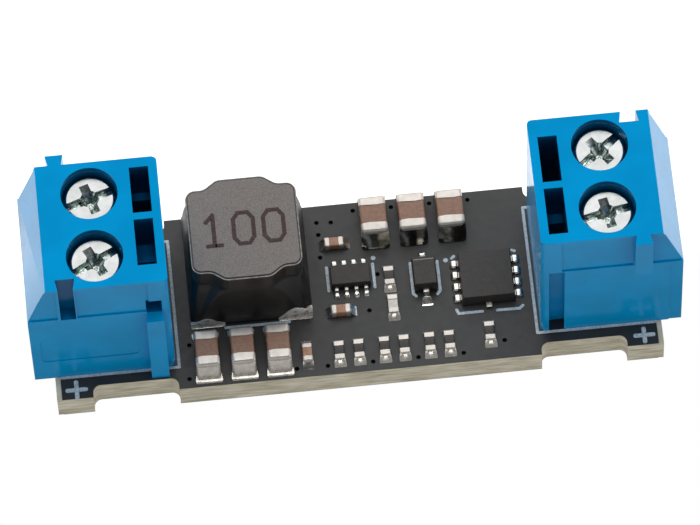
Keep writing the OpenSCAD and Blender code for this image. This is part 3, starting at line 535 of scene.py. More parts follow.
def printed(name, *shapes):
    """Lines and dots as one piece of ink."""
    obj = join(name, *shapes)
    finish_modifier(obj, "SOLIDIFY", thickness=INK_THICKNESS * MM, offset=1)
    return deliver(obj, ONE, ink, "board")


def polyline(*points):
    """Printed lines from point to point."""
    return [stripe(a, b, lift=OVER * (i % 2)) for i, (a, b) in enumerate(zip(points, points[1:]))]


block_lines = []
for s in (-1, 1):
    block_lines += polyline((s * 15.1, -3.57), (s * 9.1, -3.57), (s * 9.1, 3.6), (s * 15.1, 3.6))
printed("terminal_outlines", *block_lines)

PLUS = 0.22
printed("plus_marks",
        stripe((-14.83, -4.31), (-13.91, -4.31), PLUS), stripe((-14.37, -4.74), (-14.37, -3.88), PLUS, OVER),
        stripe((14.0, -4.27), (14.9, -4.27), PLUS), stripe((14.45, -4.63), (14.45, -3.91), PLUS, OVER))

printed("controller_outline",
        *polyline((-1.18, 1.23), (-1.18, -0.09)), *polyline((1.17, 1.21), (1.17, -0.11)),
        dot(1.23, 1.54, 0.25))

printed("diode_outline",
        *polyline((3.07, 1.04), (3.07, -0.7), (3.2, -0.86)),
        *polyline((4.45, 1.0), (4.45, -0.66), (4.3, -0.84)))

printed("power_switch_outline",
        dot(4.88, 1.02, 0.25), *polyline((5.2, 1.1), (5.32, 1.2)), *polyline((8.3, 1.24), (8.42, 1.18)),
        *polyline((5.16, -1.85), (5.25, -2.07), (6.45, -2.07)),
        *polyline((7.21, -2.08), (8.35, -2.09), (8.52, -1.95)))

printed("inductor_outline", *polyline((-6.57, -1.62), (-3.34, -1.62)))


# ---- Terminal blocks ----

# Rounding of the inner upright corners and of all other edges
CORNER = 0.25
MOULD_EDGE = 0.06
# Where the housing's slots and holes get painted shade: this deep under the outline and above this height. The
# outline is that of the walls, so the tongues and the slope on the wire side are taken off the block's box.
SKIN = 0.25
RECESS_SHADE_FLOOR = 6.0
TONGUE = 0.55
SLOPE_RUN = 1.06


def moulded_shell(side):
    """Housing: the CAD form with the small round edges that a mould leaves."""
    node = side + "_terminal_housing"
    shell = from_cad(node, side + "_block_shell")
    low, high = mm_box(node)
    inner, outer = sorted((abs(low.x), abs(high.x)))
    edit(shell, "EDGE")
    pick(lambda p, e: along(2)(p, e) and e.calc_length() > 5 * MM and abs(p.x) < 9.6)
    bpy.ops.mesh.bevel(offset=CORNER * MM, segments=5)
    close()
    round_edges(shell, MOULD_EDGE, segments=3, sharper_than=40)
    # Faces deep inside the slots and holes are marked for a darker blue: painted shade.
    cored = shell.data.attributes.new("cored", "FLOAT", "FACE")
    for value, face in zip(cored.data, shell.data.polygons):
        p = face.center / MM
        value.value = float(inner + SKIN < abs(p.x) < outer - SLOPE_RUN - SKIN and RECESS_SHADE_FLOOR < p.z < high.z - 0.1
                            and low.y + TONGUE + SKIN < p.y < high.y - TONGUE - SKIN)
    return deliver(smooth(shell, 30), ONE, blue, "housing", node)


moulded_shell("left")
moulded_shell("right")

# Degrees that each screw was left at
SCREW_TURNS = {"left_back": 18, "left_front": 27, "right_back": 38, "right_front": 11}
HEAD_HEIGHT = 1.1
# Lengths and widths at the mouth, depths, and shares of both that are left at the floor
SLOT = {"length": 3.2, "width": 0.46, "depth": 0.42, "end_share": 1, "side_share": 0.75}
WING = {"length": 1.75, "width": 0.5, "depth": 0.85, "end_share": 0.2, "side_share": 0.4}
POINT_DEPTH, POINT_R, MOUTH_R = 0.9, 0.08, 0.52
THREAD_PITCH = 0.4
THREAD_DEPTH = 0.16
SHANK_R = 0.92


def cylinder(name, place, radius, low, high, vertices=48):
    """An upright cylinder between two heights."""
    bpy.ops.mesh.primitive_cylinder_add(vertices=vertices, radius=radius * MM, depth=(high - low) * MM,
                                        location=metres(place.x, place.y, (low + high) / 2))
    obj = bpy.context.object
    obj.name = name
    return settle(obj)


def carve(obj, cutter):
    """Cuts one piece out of another and throws the cutter away."""
    finish_modifier(obj, "BOOLEAN", object=cutter, operation="DIFFERENCE", solver="EXACT")
    bpy.data.objects.remove(cutter)
    return obj


def recess(place, top, length, width, depth, end_share, side_share):
    """A tapered cutter along X: its floor is shorter and narrower than its mouth."""
    obj = block("recess", (place.x - length / 2, place.y - width / 2, top - depth),
                (place.x + length / 2, place.y + width / 2, top + 0.05))
    edit(obj, "FACE")
    pick(lambda p, f: p.z < top - depth + 0.01)
    scale(x=end_share, y=side_share, about=(place.x, place.y, top - depth))
    close()
    return obj


def point(place, top):
    """An eight-sided cutter where the wings of the cross run down to their point."""
    tall = POINT_DEPTH + 0.05
    bpy.ops.mesh.primitive_cone_add(vertices=8, radius1=POINT_R * MM, radius2=MOUTH_R * MM, depth=tall * MM,
                                    location=metres(place.x, place.y, top - POINT_DEPTH + tall / 2),
                                    rotation=(0, 0, math.radians(22.5)))
    return settle(bpy.context.object)


def thread(place, low, turns):
    """A cut thread: one ridge, wound up with the screw modifier."""
    bpy.ops.mesh.primitive_plane_add(size=THREAD_PITCH * MM, rotation=(math.pi / 2, 0, 0))
    obj = bpy.context.object
    obj.name = "thread"
    settle(obj)
    edit(obj, "VERT")
    pick(lambda p, v: p.x < 0)
    bpy.ops.mesh.delete(type="VERT")
    select_all()
    shift(x=SHANK_R - THREAD_DEPTH - THREAD_PITCH / 2)
    bpy.ops.mesh.subdivide(number_cuts=4)
    pick(lambda p, v: abs(p.z) < THREAD_PITCH * 0.15)
    shift(x=THREAD_DEPTH)
    close()
    finish_modifier(obj, "SCREW", axis="Z", angle=2 * math.pi, screw_offset=THREAD_PITCH * MM, iterations=turns,
                    steps=32, render_steps=32, use_merge_vertices=True, merge_threshold=0.001 * MM)
    edit(obj, "EDGE")
    pick(lambda p, e: e.is_boundary)
    bpy.ops.mesh.fill()
    outwards()
    close()
    obj.location = metres(place.x, place.y, low + THREAD_PITCH / 2)
    return settle(obj)


def terminal_screw(row):
    """Screw head with a slot right across it and a cross whose wings run down to a point."""
    low, high = mm_box(row + "_screw")
    middle, top = (low + high) / 2, high.z
    under_head = top - HEAD_HEIGHT
    head = cylinder(row + "_zinc_screw", middle, (high.x - low.x) / 2, under_head, top, 64)
    edit(head, "EDGE")
    pick(lambda p, e: abs(e.verts[0].co.z - e.verts[1].co.z) < 1e-6 and e.verts[0].co.z / MM > top - 0.001)
    bpy.ops.mesh.bevel(offset=0.1 * MM, segments=4)
    close()
    carve(head, recess(middle, top, **SLOT))
    carve(head, recess(middle, top, **WING))
    carve(head, point(middle, top))
    carve(head, turned(recess(middle, top, **WING), 90, middle))
    edit(head, "VERT")
    select_all()
    bpy.ops.mesh.remove_doubles(threshold=0.002 * MM)
    close()
    round_edges(head, 0.02, segments=2, sharper_than=40)
    head = turned(head, SCREW_TURNS[row], middle)
    core = cylinder("core", middle, SHANK_R - THREAD_DEPTH, low.z, under_head + 0.05)
    edit(core, "EDGE")
    pick(lambda p, e: max(v.co.z for v in e.verts) / MM < low.z + 0.001)
    bpy.ops.mesh.bevel(offset=0.15 * MM, segments=3)
    close()
    turns = int((under_head - low.z - 0.3) / THREAD_PITCH)
    return smooth(join(row + "_zinc_screw", core, thread(middle, low.z + 0.15, turns), head), 35)


screw = terminal_screw("left_back")
for row, turn in SCREW_TURNS.items():
    piece = screw
    if row != "left_back":
        move = mm_box(row + "_screw")[0] - mm_box("left_back_screw")[0]
        piece = copy_of(screw, row + "_zinc_screw", move=move, turn=turn - SCREW_TURNS["left_back"],
                        about=middle_of("left_back_screw"))
    deliver(piece, row + "_screw", zinc, "screw", row + "_screw")

    clamp = from_cad(row + "_clamp", row + "_zinc_clamp")
    round_edges(clamp, 0.1, segments=3, sharper_than=60)
    deliver(smooth(clamp, 35), row + "_clamp", clamp_zinc, "clamp", row + "_clamp")

    contact = from_cad(row + "_contact", row + "_tinned_contact")
    round_edges(contact, 0.04, segments=2, sharper_than=60)
    deliver(smooth(contact, 35), ONE, tinned, "contact", row + "_contact")

# ---- Inductor ----

core_high = mm_box("inductor_core")[1]
resin_low, resin_high = mm_box("inductor_resin")
CORE_MIDDLE = middle_of("inductor_core")
FLANGE_Z = resin_high.z
POST_REACH = 2.2
# The ground face stands this far above the lacquer; a band along its rim is left out of it, and a pale ring
# in that band is a painted highlight
LEDGE = 0.08
RIM_BAND = 0.13
HIGHLIGHT_FROM, HIGHLIGHT_WIDTH, HIGHLIGHT_DROP = 0.02, 0.045, 0.06


def worn_core(name):
    """A copy of the drum core whose tongues have worn corners."""
    obj = from_cad("inductor_core", name)
    edit(obj, "EDGE")
    pick(lambda p, e: p.z > FLANGE_Z and abs(e.verts[0].co.z - e.verts[1].co.z) > 0.5 * MM
         and e.calc_face_angle(0) > math.radians(25))
    bpy.ops.mesh.bevel(offset=0.18 * MM, segments=4)
    close()
    return obj


def keep_inset(obj, width):
    """Insets the open sheet and keeps its middle alone, selected, in edit mode."""
    edit(obj, "FACE")
    select_all()
    bpy.ops.mesh.inset(thickness=width * MM)
    select_all("INVERT")
    bpy.ops.mesh.delete(type="FACE")
    select_all()


def inductor_core():
    """Drum core, lacquered all round, with its ground face and beside it a pale ring, a painted highlight."""
    obj = worn_core("inductor_drum")
    edit(obj, "FACE")
    pick(lambda p, f: p.z > core_high.z - 0.001 and f.normal.z > 0.9)
    bpy.ops.mesh.duplicate()
    bpy.ops.mesh.separate(type="SELECTED")
    pick(lambda p, v: p.z > core_high.z - 0.001, "VERT")
    shift(z=-LEDGE)
    pick(lambda p, e: min(v.co.z for v in e.verts) / MM > core_high.z - LEDGE - 0.001, "EDGE")
    bpy.ops.mesh.bevel(offset=0.06 * MM, segments=4)
    close()
    face = next(o for o in bpy.context.selected_objects if o != obj)
    face.name = "inductor_ground_face"
    deliver(smooth(obj, 30), ONE, lacquer, "ferrite", "inductor_core")

    # The pale ring along the rim is a painted highlight.
    rim = bpy.data.objects.new("inductor_worn_rim", face.data.copy())
    bpy.context.scene.collection.objects.link(rim)
    keep_inset(rim, HIGHLIGHT_FROM)
    bpy.ops.mesh.inset(thickness=HIGHLIGHT_WIDTH * MM)
    bpy.ops.mesh.delete(type="FACE")
    select_all()
    shift(z=-HIGHLIGHT_DROP)
    close()
    finish_modifier(rim, "SOLIDIFY", thickness=0.05 * MM, offset=-1)
    deliver(smooth(rim, 40), ONE, pale_highlight_and_mark, "ferrite")

    keep_inset(face, RIM_BAND)
    bpy.ops.mesh.extrude_region_move(TRANSFORM_OT_translate={"value": metres(0, 0, -0.2)})
    outwards()
    close()
    round_edges(face, 0.012, segments=2, sharper_than=60)
    deliver(smooth(face, 40), ONE, ferrite, "ferrite")


def inductor_skirt():
    """Resin skirt: lofted from the flange's outline to the square base, and full like a cushion."""
    obj = worn_core("inductor_skirt")
    edit(obj, "FACE")
    # Only the outline of the flange's lower face is kept
    pick(lambda p, f: abs(p.z - FLANGE_Z) < 0.001 and f.normal.z < -0.9)
    bpy.ops.mesh.region_to_loop()
    bpy.ops.mesh.select_mode(type="EDGE")
    select_all("INVERT")
    bpy.ops.mesh.delete(type="EDGE_FACE")
    pick(lambda p, e: math.hypot(p.x - CORE_MIDDLE.x, p.y - CORE_MIDDLE.y) < POST_REACH)
    bpy.ops.mesh.delete(type="EDGE")
    pick(lambda p, v: not v.link_edges, "VERT")
    bpy.ops.mesh.delete(type="VERT")
    close()
    plinth = 0.55
    root = resin_low.z + plinth
    bpy.ops.mesh.primitive_plane_add(size=(resin_high.x - resin_low.x) * MM,
                                     location=metres(CORE_MIDDLE.x, CORE_MIDDLE.y, root))
    base = settle(bpy.context.object)
    edit(base, "VERT")
    select_all()
    bpy.ops.mesh.bevel(offset=0.45 * MM, segments=6, affect="VERTICES")
    select_all()
    bpy.ops.mesh.delete(type="ONLY_FACE")
    close()
    obj = join("inductor_skirt", base, obj)
    edit(obj, "EDGE")
    select_all()
    cuts = 11
    bpy.ops.mesh.bridge_edge_loops(number_cuts=cuts, interpolation="LINEAR")
    # Each ring rises, so that the wall bulges out below the flange
    bpy.ops.mesh.select_mode(type="VERT")
    tall = FLANGE_Z - root
    for ring in range(cuts, 0, -1):
        share = ring / (cuts + 1)
        pick(lambda p, v: abs(p.z - root - tall * share) < 0.001)
        shift(z=tall * (1 - (1 - share) ** 1.5 - share) - 0.0005 * ring)
    pick(lambda p, e: e.is_boundary and p.z < root + 0.01, "EDGE")
    bpy.ops.mesh.extrude_edges_move(TRANSFORM_OT_translate={"value": metres(0, 0, -plinth)})
    bpy.ops.mesh.fill()
    pick(lambda p, e: e.is_boundary and p.z > root + 0.01)
    bpy.ops.mesh.fill()
    outwards()
    close()
    return deliver(smooth(obj, 60), ONE, resin, "resin", "inductor_resin")


def foot(node, name, heights):
    """Folded metal foot: a plate below the base whose tabs show through the resin in ragged patches."""
    low, high = mm_box(node)
    plate = block(name, low, (high.x, high.y, low.z + 0.1))
    tab = block(name + "_tab", (low.x, low.y - 0.015, low.z), (high.x, low.y + 0.15, high.z))
    edit(tab, "EDGE")
    pick(along(0))
    bpy.ops.mesh.subdivide(number_cuts=len(heights) - 2)
    bpy.ops.mesh.select_mode(type="VERT")
    wide = high.x - low.x
    for index, height in enumerate(heights):
        x = low.x + wide * index / (len(heights) - 1)
        pick(lambda p, v: abs(p.x - x) < wide / 30 and p.z > high.z - 0.001)
        shift(z=height - (high.z - low.z))
    close()
    round_edges(tab, 0.03, segments=2)
    far = copy_of(tab, name + "_far", turn=180, about=middle_of(node))
    return deliver(smooth(join(name, plate, tab, far), 40), ONE, rough_tin, "tinned_lead", node)


inductor_core()
inductor_skirt()
foot("inductor_left_terminal", "inductor_left_foot", [0.3, 0.42, 0.6, 0.72, 0.8, 0.82, 0.74, 0.6, 0.45, 0.36, 0.3])
foot("inductor_right_terminal", "inductor_right_foot", [0.2, 0.4, 0.62, 0.86, 1.02, 1.1, 1.08, 0.98, 0.84, 0.98, 1.05])
dress(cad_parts["inductor_winding"], copper)

# Value marking, written by a laser in close dots: 100 stands for ten microhenry
DIGIT_HALF = Vector((0.5, 0.87))
DIGIT_PITCH = 1.52
DOT = 0.23
DOT_STEP = 0.125
# Neighbouring dots lie in four levels, so that no two of their faces share a plane
DOT_LIFT, DOT_LEVELS = 0.001, 4
STROKES = {
    "1": [((-0.7, 0.55), (0, 1)), ((0, 1), (0, -1)), ((-0.7, -1), (0.7, -1))],
    "0": [((-0.5, 1), (0.5, 1)), ((0.5, 1), (1, 0.6)), ((1, 0.6), (1, -0.6)), ((1, -0.6), (0.5, -1)),
          ((0.5, -1), (-0.5, -1)), ((-0.5, -1), (-1, -0.6)), ((-1, -0.6), (-1, 0.6)), ((-1, 0.6), (-0.5, 1))],
}


def marking(digits):
    """Digits in the middle of the ground face, each a chain of dots along its strokes."""
    dots, spots = [], []
    for place, digit in enumerate(digits):
        middle = Vector((CORE_MIDDLE.x + (place - 1) * DIGIT_PITCH, CORE_MIDDLE.y - 0.02))
        for start_point, end_point in STROKES[digit]:
            a = middle + Vector(start_point) * DIGIT_HALF
            b = middle + Vector(end_point) * DIGIT_HALF
            steps = max(1, round((b - a).length / DOT_STEP))
            for step in range(steps + 1):
                spot = a.lerp(b, step / steps)
                if any((spot - other).length < DOT_STEP / 3 for other in spots):
                    continue
                spots.append(spot)
                level = core_high.z + DOT_LIFT * (len(spots) % DOT_LEVELS)
                bpy.ops.mesh.primitive_circle_add(vertices=12, radius=DOT / 2 * MM, fill_type="NGON",
                                                  location=metres(spot.x, spot.y, level))
                dots.append(settle(bpy.context.object))
    obj = join("inductor_marking", *dots)
    finish_modifier(obj, "SOLIDIFY", thickness=0.008 * MM, offset=1)
    return deliver(obj, ONE, mark, "ferrite")


marking("100")

# ---- Ceramic chips: capacitors and resistors ----

# The end metals stand this far proud of the fired body
PROUD = 0.02
TOE_STEPS = 9


def both_ends(obj, node):
    """Adds the same shape at the other end of a node."""
    return join(obj.name, obj, copy_of(obj, obj.name + "_far", turn=180, about=middle_of(node)))


def end_metal(name, node, band, radius, bulge):
    """Dipped metal on both ends: a cup with round corners whose rim bulges along the body."""
    low, high = mm_box(node)
    middle, half = (low + high) / 2, (high.x - low.x) / 2
    rim = low.y + band
    cup = block(name, low, (high.x, rim + 2 * radius, high.z))
    edit(cup, "EDGE")
    pick(along(0))
    bpy.ops.mesh.subdivide(number_cuts=5)
    close()
    round_edges(cup, radius, segments=4)
    edit(cup, "FACE")
    select_all()
    bpy.ops.mesh.bisect(plane_co=metres(0, rim, 0), plane_no=(0, 1, 0), clear_outer=True, use_fill=True,
                        threshold=1e-7)
    bpy.ops.mesh.select_mode(type="VERT")
    columns = sorted({round(v.co.x / MM, 3) for v in bmesh.from_edit_mesh(cup.data).verts
                      if abs(v.co.y / MM - rim) < 0.001 and v.co.z / MM > middle.z})
    for x in columns:
        pick(lambda p, v: abs(p.x - x) < 0.002 and abs(p.y - rim) < 0.001 and p.z > middle.z)
        shift(y=bulge * (1 - ((x - middle.x) / half) ** 2))
    close()
    return smooth(both_ends(cup, node), 50)


def chip_body(name, node, radius, lowered=PROUD):
    """The fired body between the end metals."""
    low, high = mm_box(node)
    body = block(name, low + Vector((PROUD, PROUD, PROUD)), high - Vector((PROUD, PROUD, lowered)))
    return smooth(round_edges(body, radius))


def solder_toe(name, x, face, toe, chip_width, pad_width, height, lean=1.7, ears=0.0, film=0.0, corner=0.14):
    """A joint against an end that faces -Y, whose toe falls from the metal to nothing at the pad's edge.

    lean is how hollow the fall is. The middle lies lower by the share ears; a film of that share stays
    nearly level up to the edge; the share corner is off the pad's far corners."""
    obj = block(name, (x - pad_width / 2, face - toe, MASK_TOP - 0.02), (x + pad_width / 2, face, MASK_TOP + height))
    edit(obj, "EDGE")
    pick(along(1))
    bpy.ops.mesh.subdivide(number_cuts=TOE_STEPS - 1)
    pick(along(0))
    bpy.ops.mesh.subdivide(number_cuts=4)
    bpy.ops.mesh.select_mode(type="VERT")
    for step in range(TOE_STEPS + 1):
        share = step / TOE_STEPS
        y = face - toe * share
        tall = (1 - film) * (1 - share) ** lean + film * (1 - share ** 6)
        wide = (chip_width + (pad_width - chip_width) * share ** 0.7) / pad_width
        pick(lambda p, v: abs(p.y - y) < toe / 30)
        scale(x=wide * (1 - corner * share ** 6), z=max(tall, 0.01), about=(x, y, MASK_TOP))
        if ears:
            pick(lambda p, v: abs(p.y - y) < toe / 30 and abs(p.x - x) < pad_width * 0.3 and p.z > MASK_TOP + 0.01)
            scale(z=1 - ears * (1 - share), about=(x, y, MASK_TOP))
    close()
    return obj


def cushion(name, node, slant, share):
    """Solder drawn up the end that faces -Y: a leaning cushion from the pad almost to the top."""
    low, high = mm_box(node)
    top = MASK_TOP + share * (high.z - MASK_TOP)
    obj = block(name, (low.x + 0.01, low.y - slant, MASK_TOP), (high.x - 0.01, low.y + 0.3, top))
    edit(obj, "EDGE")
    pick(lambda p, e: p.z > top - 0.01 and p.y < low.y - slant + 0.01)
    shift(y=slant - 0.025)
    pick(lambda p, f: p.z < MASK_TOP + 0.01, "FACE")
    scale(x=1.04, about=((low.x + high.x) / 2, low.y, MASK_TOP))
    close()
    return smooth(round_edges(obj, 0.24, segments=6), 60)


def repeat(obj, nodes, suffix):
    """Copies a piece made at the first node to the others, each named for its own node."""
    made = {nodes[0]: obj}
    for node in nodes[1:]:
        made[node] = copy_of(obj, node + suffix, move=middle_of(node) - middle_of(nodes[0]))
    return made


def joints(name, *objs, tin=tin_solder):
    """All the joints of one kind as a piece."""
    return deliver(smooth(join(name, *objs), 50), ONE, tin, "solder", "top_solder")


def capacitors(nodes, ceramic, slot, joint_name, band, radius, bulge, toe, pad_width, climb, slant=0,
               tin=tin_solder, **fall):
    """A row of equal capacitors with their joints, which climb a share of their height. slant is the
    reach of solder that covers the ends; fall goes to solder_toe."""
    first = nodes[0]
    low, high = mm_box(first)
    bodies = repeat(chip_body(first + "_ceramic", first, radius * 0.7), nodes, "_ceramic")
    metals = repeat(end_metal(first + "_ends", first, band, radius, bulge), nodes, "_ends")
    joint = solder_toe(first + "_joint", (low.x + high.x) / 2, low.y + 0.02, toe, high.x - low.x, pad_width,
                       climb * (high.z - low.z), **fall)
    if slant:
        joint = join(first + "_joint", joint, cushion(first + "_cushion", first, slant, 0.86))
    toes = repeat(both_ends(joint, first), nodes, "_joint")
    for node in nodes:
        deliver(bodies[node], ONE, ceramic, slot, node)
        deliver(metals[node], ONE, ends, "tinned_lead", node)
    joints(joint_name, *toes.values(), tin=tin)


capacitors(["front_capacitor_%d" % i for i in (1, 2, 3)], large_ceramic, "capacitor_ceramic",
           "front_capacitor_joints", band=0.47, radius=0.15, bulge=0.07, toe=0.46, pad_width=1.44,
           climb=0.09, slant=0.28, tin=matt_tin, lean=2.6, film=0.5)
# The back joints use the solder that is painted dark: painted shade.
capacitors(["back_capacitor_%d" % i for i in (1, 2, 3)], large_ceramic, "capacitor_ceramic",
           "back_capacitor_joints", band=0.45, radius=0.15, bulge=0.07, toe=0.44, pad_width=1.5,
           climb=0.86, tin=dark_painted_solder, lean=1.45, ears=0.12, film=0.06, corner=0.34)
capacitors(["chip_capacitor_3"], small_ceramic, "chip_capacitor_ceramic",
           "front_chip_capacitor_joint", band=0.24, radius=0.07, bulge=0.03, toe=0.32, pad_width=0.6,
           climb=0.7, lean=1.6, ears=0.35, film=0.05)

# The other two lie along X: the finished one is copied to their place and turned
there = middle_of("chip_capacitor_3")
for node in ("chip_capacitor_1", "chip_capacitor_2"):
    for source, suffix, material, slot, replaced in (
            ("chip_capacitor_3_ceramic", "_ceramic", small_ceramic, "chip_capacitor_ceramic", node),
            ("chip_capacitor_3_ends", "_ends", ends, "tinned_lead", node),
            ("front_chip_capacitor_joint", "_joint", tin_solder, "solder", "top_solder")):
        new = copy_of(bpy.data.objects[source], node + suffix, move=middle_of(node) - there, turn=90, about=there)
        deliver(new, ONE, material, slot, replaced)

RESISTORS = ["chip_resistor_%d" % i for i in range(1, 9)]
TURNED_RESISTOR = "chip_resistor_9"


def resistors():
    """Alumina chips with a dark glaze on top, and one that lies on its face."""
    first = RESISTORS[0]
    low, high = mm_box(first)
    body = chip_body(first + "_alumina", first, 0.015, lowered=0.035)
    glaze_piece = block(first + "_glaze", (low.x + 0.015, low.y + 0.23, high.z - 0.12),
                        (high.x - 0.015, high.y - 0.23, high.z - 0.008))
    smooth(round_edges(glaze_piece, 0.025), 60)
    metal = end_metal(first + "_ends", first, 0.25, 0.035, 0.015)
    middle, climb = (low + high) / 2, 0.85 * (high.z - low.z)
    near = solder_toe(first + "_joint", middle.x, low.y + 0.01, 0.36, 0.5, 0.68, climb, lean=1.5, ears=0.5,
                      film=0.2)
    far = solder_toe(first + "_far_joint", middle.x, low.y + 0.01, 0.16, 0.5, 0.66, climb, lean=0.6)
    toe = join(first + "_joint", near, turned(far, 180, middle))
    everyone = RESISTORS + [TURNED_RESISTOR]
    bodies = repeat(body, everyone, "_alumina")
    glazes = repeat(glaze_piece, RESISTORS, "_glaze")
    metals = repeat(metal, everyone, "_ends")
    toes = repeat(toe, everyone, "_joint")
    for node in everyone:
        deliver(bodies[node], ONE, white_alumina, "alumina", node)
        deliver(metals[node], ONE, ends, "tinned_lead", node)
    for node in RESISTORS:
        deliver(glazes[node], ONE, glaze, "resistor_glaze", node)
    joints("resistor_joints", *toes.values(), tin=matt_tin)


resistors()


# ---- Diode, controller and power switch ----

def softened(node, name, radius, material, slot):
    """A CAD node with the small round edges of the real part."""
    obj = from_cad(node, name)
    round_edges(obj, radius, segments=2)
    return deliver(smooth(obj, 35), ONE, material, slot, node)


for node in ("diode_body", "controller_body", "power_switch_body"):
    softened(node, node.replace("_body", "_moulding"), 0.03, charcoal, "moulding_compound")
for node in ("diode_back_lead", "diode_front_lead", "controller_back_leads", "controller_front_leads",
             "power_switch_left_leads", "power_switch_right_leads", "power_switch_pad"):
    softened(node, node + "_tinned", 0.02, tinned, "tinned_lead")

# A worn line across the diode's top marks its cathode
diode_low, diode_high = mm_box("diode_body")
deliver(block("diode_cathode_line", (diode_low.x + 0.08, diode_high.y - 0.26, diode_high.z - 0.02),
              (diode_high.x - 0.08, diode_high.y - 0.22, diode_high.z + 0.004)), ONE, pale_highlight_and_mark, "moulding_compound")


def drops(name, node, facing, count, pitch, across, out, back, tall):
    """Drops of solder over the tips of a row of leads; facing is the turn from -Y to the side of the tips.
    Each is that wide across, reaches out beyond the tip and back over it, and stands that tall."""
    low, high = mm_box(node)
    middle, half = (low + high) / 2, (high - low) / 2
    tip = middle.y - (half.x if facing in (-90, 90) else half.y)
    made = []
    for i in range(count):
        x = middle.x + (i - (count - 1) / 2) * pitch
        drop = block(name, (x - across / 2, tip - out, MASK_TOP - 0.06), (x + across / 2, tip + back, MASK_TOP + tall))
        edit(drop, "FACE")
        pick(lambda p, f: p.z > MASK_TOP + tall - 0.01)
        scale(x=0.8, y=0.6, about=(x, tip + back * 0.6, MASK_TOP))
        close()
        made.append(round_edges(drop, 0.07, segments=4))
    return turned(join(name, *made), facing, middle)


tip_low, tip_high = mm_box("diode_front_lead")
joints("diode_joints",
       drops("diode_back_joint", "diode_back_lead", 180, 1, 0, across=0.42, out=0.22, back=0.1, tall=0.16),
       solder_toe("diode_front_joint", (tip_low.x + tip_high.x) / 2, tip_low.y + 0.06, 0.42, 0.34, 0.62, 0.26,
                  lean=1.4, ears=0.3))
joints("controller_joints",
       drops("controller_back_joint", "controller_back_leads", 180, 4, 0.5, across=0.34, out=0.18, back=0.3, tall=0.18),
       drops("controller_front_joint", "controller_front_leads", 0, 4, 0.5, across=0.34, out=0.2, back=0.2, tall=0.15))
joints("power_switch_joints", *(
    drops("power_switch_%s_joint" % side, "power_switch_%s_leads" % side, turn, 4, 0.65,
          across=0.5, out=0.18, back=0.3, tall=0.22) for side, turn in (("left", -90), ("right", 90))))
for side in ("left", "right"):
    node = "inductor_%s_terminal" % side
    low, high = mm_box(node)
    toe = solder_toe(side + "_foot_joint", (low.x + high.x) / 2, low.y + 0.02, 0.12, 1.6, 1.8, 0.15)
    joints("inductor_%s_joints" % side, both_ends(toe, node), tin=matt_tin)
dress(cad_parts["pin_solder"], tin_solder)


# ---- Camera, floor and light ----

bpy.ops.object.camera_add(location=(-0.00917, -0.16773, 0.33508), rotation=(0.47105, 0.02113, -0.09586))
camera = bpy.context.object
camera.data.sensor_width = 36
camera.data.lens = 376.98
camera.data.clip_start = 0.01
camera.data.clip_end = 10
bpy.context.scene.camera = camera

bpy.ops.mesh.primitive_plane_add(size=1.6, location=(0, 0, cad_box[0].z))
floor = bpy.context.object
floor.name = "floor"


# A white sweep of paper: the eye sees it burnt out. For mirrors it glows, brighter towards the back as painted
# light, with a painted shadow of the part round the board's front edge.
def studio_paper():
    material, tree = start("studio_paper")
    place = add(tree, "ShaderNodeTexCoord").outputs["Object"]
    depth = add(tree, "ShaderNodeSeparateXYZ", Vector=place).outputs["Y"]
    painted_back_glow = add(tree, "ShaderNodeMapRange", {"interpolation_type": "SMOOTHSTEP"}, Value=depth,
               From_Min=-7 * MM, From_Max=6 * MM, To_Min=0.55, To_Max=1.35).outputs[0]
    past_edge = add(tree, "ShaderNodeMath", {"operation": "ADD"}, _0=depth, _1=4 * MM).outputs[0]
    from_edge = add(tree, "ShaderNodeMath", {"operation": "ABSOLUTE"}, _0=past_edge).outputs[0]
    painted_shadow = add(tree, "ShaderNodeMapRange", {"interpolation_type": "SMOOTHSTEP"}, Value=from_edge,
                From_Min=1.5 * MM, From_Max=7 * MM, To_Min=0.3, To_Max=1.0).outputs[0]
    mirrored = add(tree, "ShaderNodeMath", {"operation": "MULTIPLY"}, _0=painted_back_glow, _1=painted_shadow).outputs[0]
    path = add(tree, "ShaderNodeLightPath").outputs
    strength = add(tree, "ShaderNodeMath", {"operation": "MAXIMUM"}, _0=mirrored, _1=path["Is Camera Ray"]).outputs[0]
    white = add(tree, "ShaderNodeEmission", Color=(1, 1, 1, 1), Strength=strength)
    seen = add(tree, "ShaderNodeMath", {"operation": "MAXIMUM"},
               _0=path["Is Camera Ray"], _1=path["Is Glossy Ray"]).outputs[0]
    matt = add(tree, "ShaderNodeBsdfPrincipled", Base_Color=colour("#e9e9e8"), Roughness=0.9)
    paper = add(tree, "ShaderNodeMixShader", _0=seen, _1=matt.outputs[0], _2=white.outputs[0])
    add(tree, "ShaderNodeOutputMaterial", Surface=paper.outputs[0])
    return material


floor.data.materials.append(studio_paper())

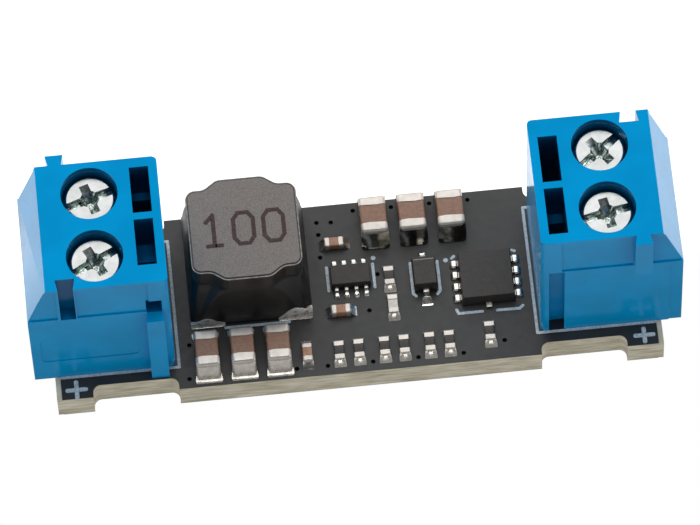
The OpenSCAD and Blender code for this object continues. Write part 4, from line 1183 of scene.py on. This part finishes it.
# A white room that grows dark towards the camera, whose stand keeps the light away. For lit surfaces
# the dark begins nearer to the camera than for mirrors, and its core is a little wider.
ROOM = 0.85
DARK = 0.06
LIT_DARK = (60, 18)
MIRRORED_DARK = (80, 14)
world = bpy.context.scene.world or bpy.data.worlds.new("studio")
bpy.context.scene.world = world
world.use_nodes = True
tree = world.node_tree
tree.nodes.clear()
way = add(tree, "ShaderNodeTexCoord").outputs["Generated"]
near = add(tree, "ShaderNodeVectorMath", {"operation": "DOT_PRODUCT"}, _0=way,
           _1=tuple(camera.location.normalized())).outputs["Value"]


def darkened(outer, inner):
    """Level of the room: full outside one angle off the camera, dark inside the other."""
    return add(tree, "ShaderNodeMapRange", {"interpolation_type": "SMOOTHSTEP"}, Value=near,
               From_Min=math.cos(math.radians(outer)), From_Max=math.cos(math.radians(inner)),
               To_Min=ROOM, To_Max=DARK).outputs[0]


path = add(tree, "ShaderNodeLightPath").outputs
room = add(tree, "ShaderNodeMix", {"data_type": "FLOAT"}, _0=path["Is Glossy Ray"],
           _2=darkened(*LIT_DARK), _3=darkened(*MIRRORED_DARK)).outputs[0]
level = add(tree, "ShaderNodeMath", {"operation": "MAXIMUM"}, _0=room, _1=path["Is Camera Ray"]).outputs[0]
sky = add(tree, "ShaderNodeBackground", Color=(1, 1, 1, 1), Strength=level)
add(tree, "ShaderNodeOutputWorld", Surface=sky.outputs[0])


def soft_box(name, place, size, power):
    """A square lamp that faces the part."""
    bpy.ops.object.light_add(type="AREA", location=place)
    lamp = bpy.context.object
    lamp.name = name
    lamp.rotation_euler = Vector(place).to_track_quat("Z", "Y").to_euler()
    lamp.data.size = size
    lamp.data.energy = power


soft_box("back_soft_box", (0.0, 0.30, 0.50), 0.56, 1.15)
soft_box("top_soft_box", (0.0, -0.02, 0.50), 0.12, 0.27)
soft_box("left_soft_box", (-0.45, -0.02, 0.16), 0.3, 0.22)
soft_box("right_soft_box", (0.45, -0.02, 0.16), 0.3, 0.42)

bpy.context.scene.view_settings.view_transform = "Standard"
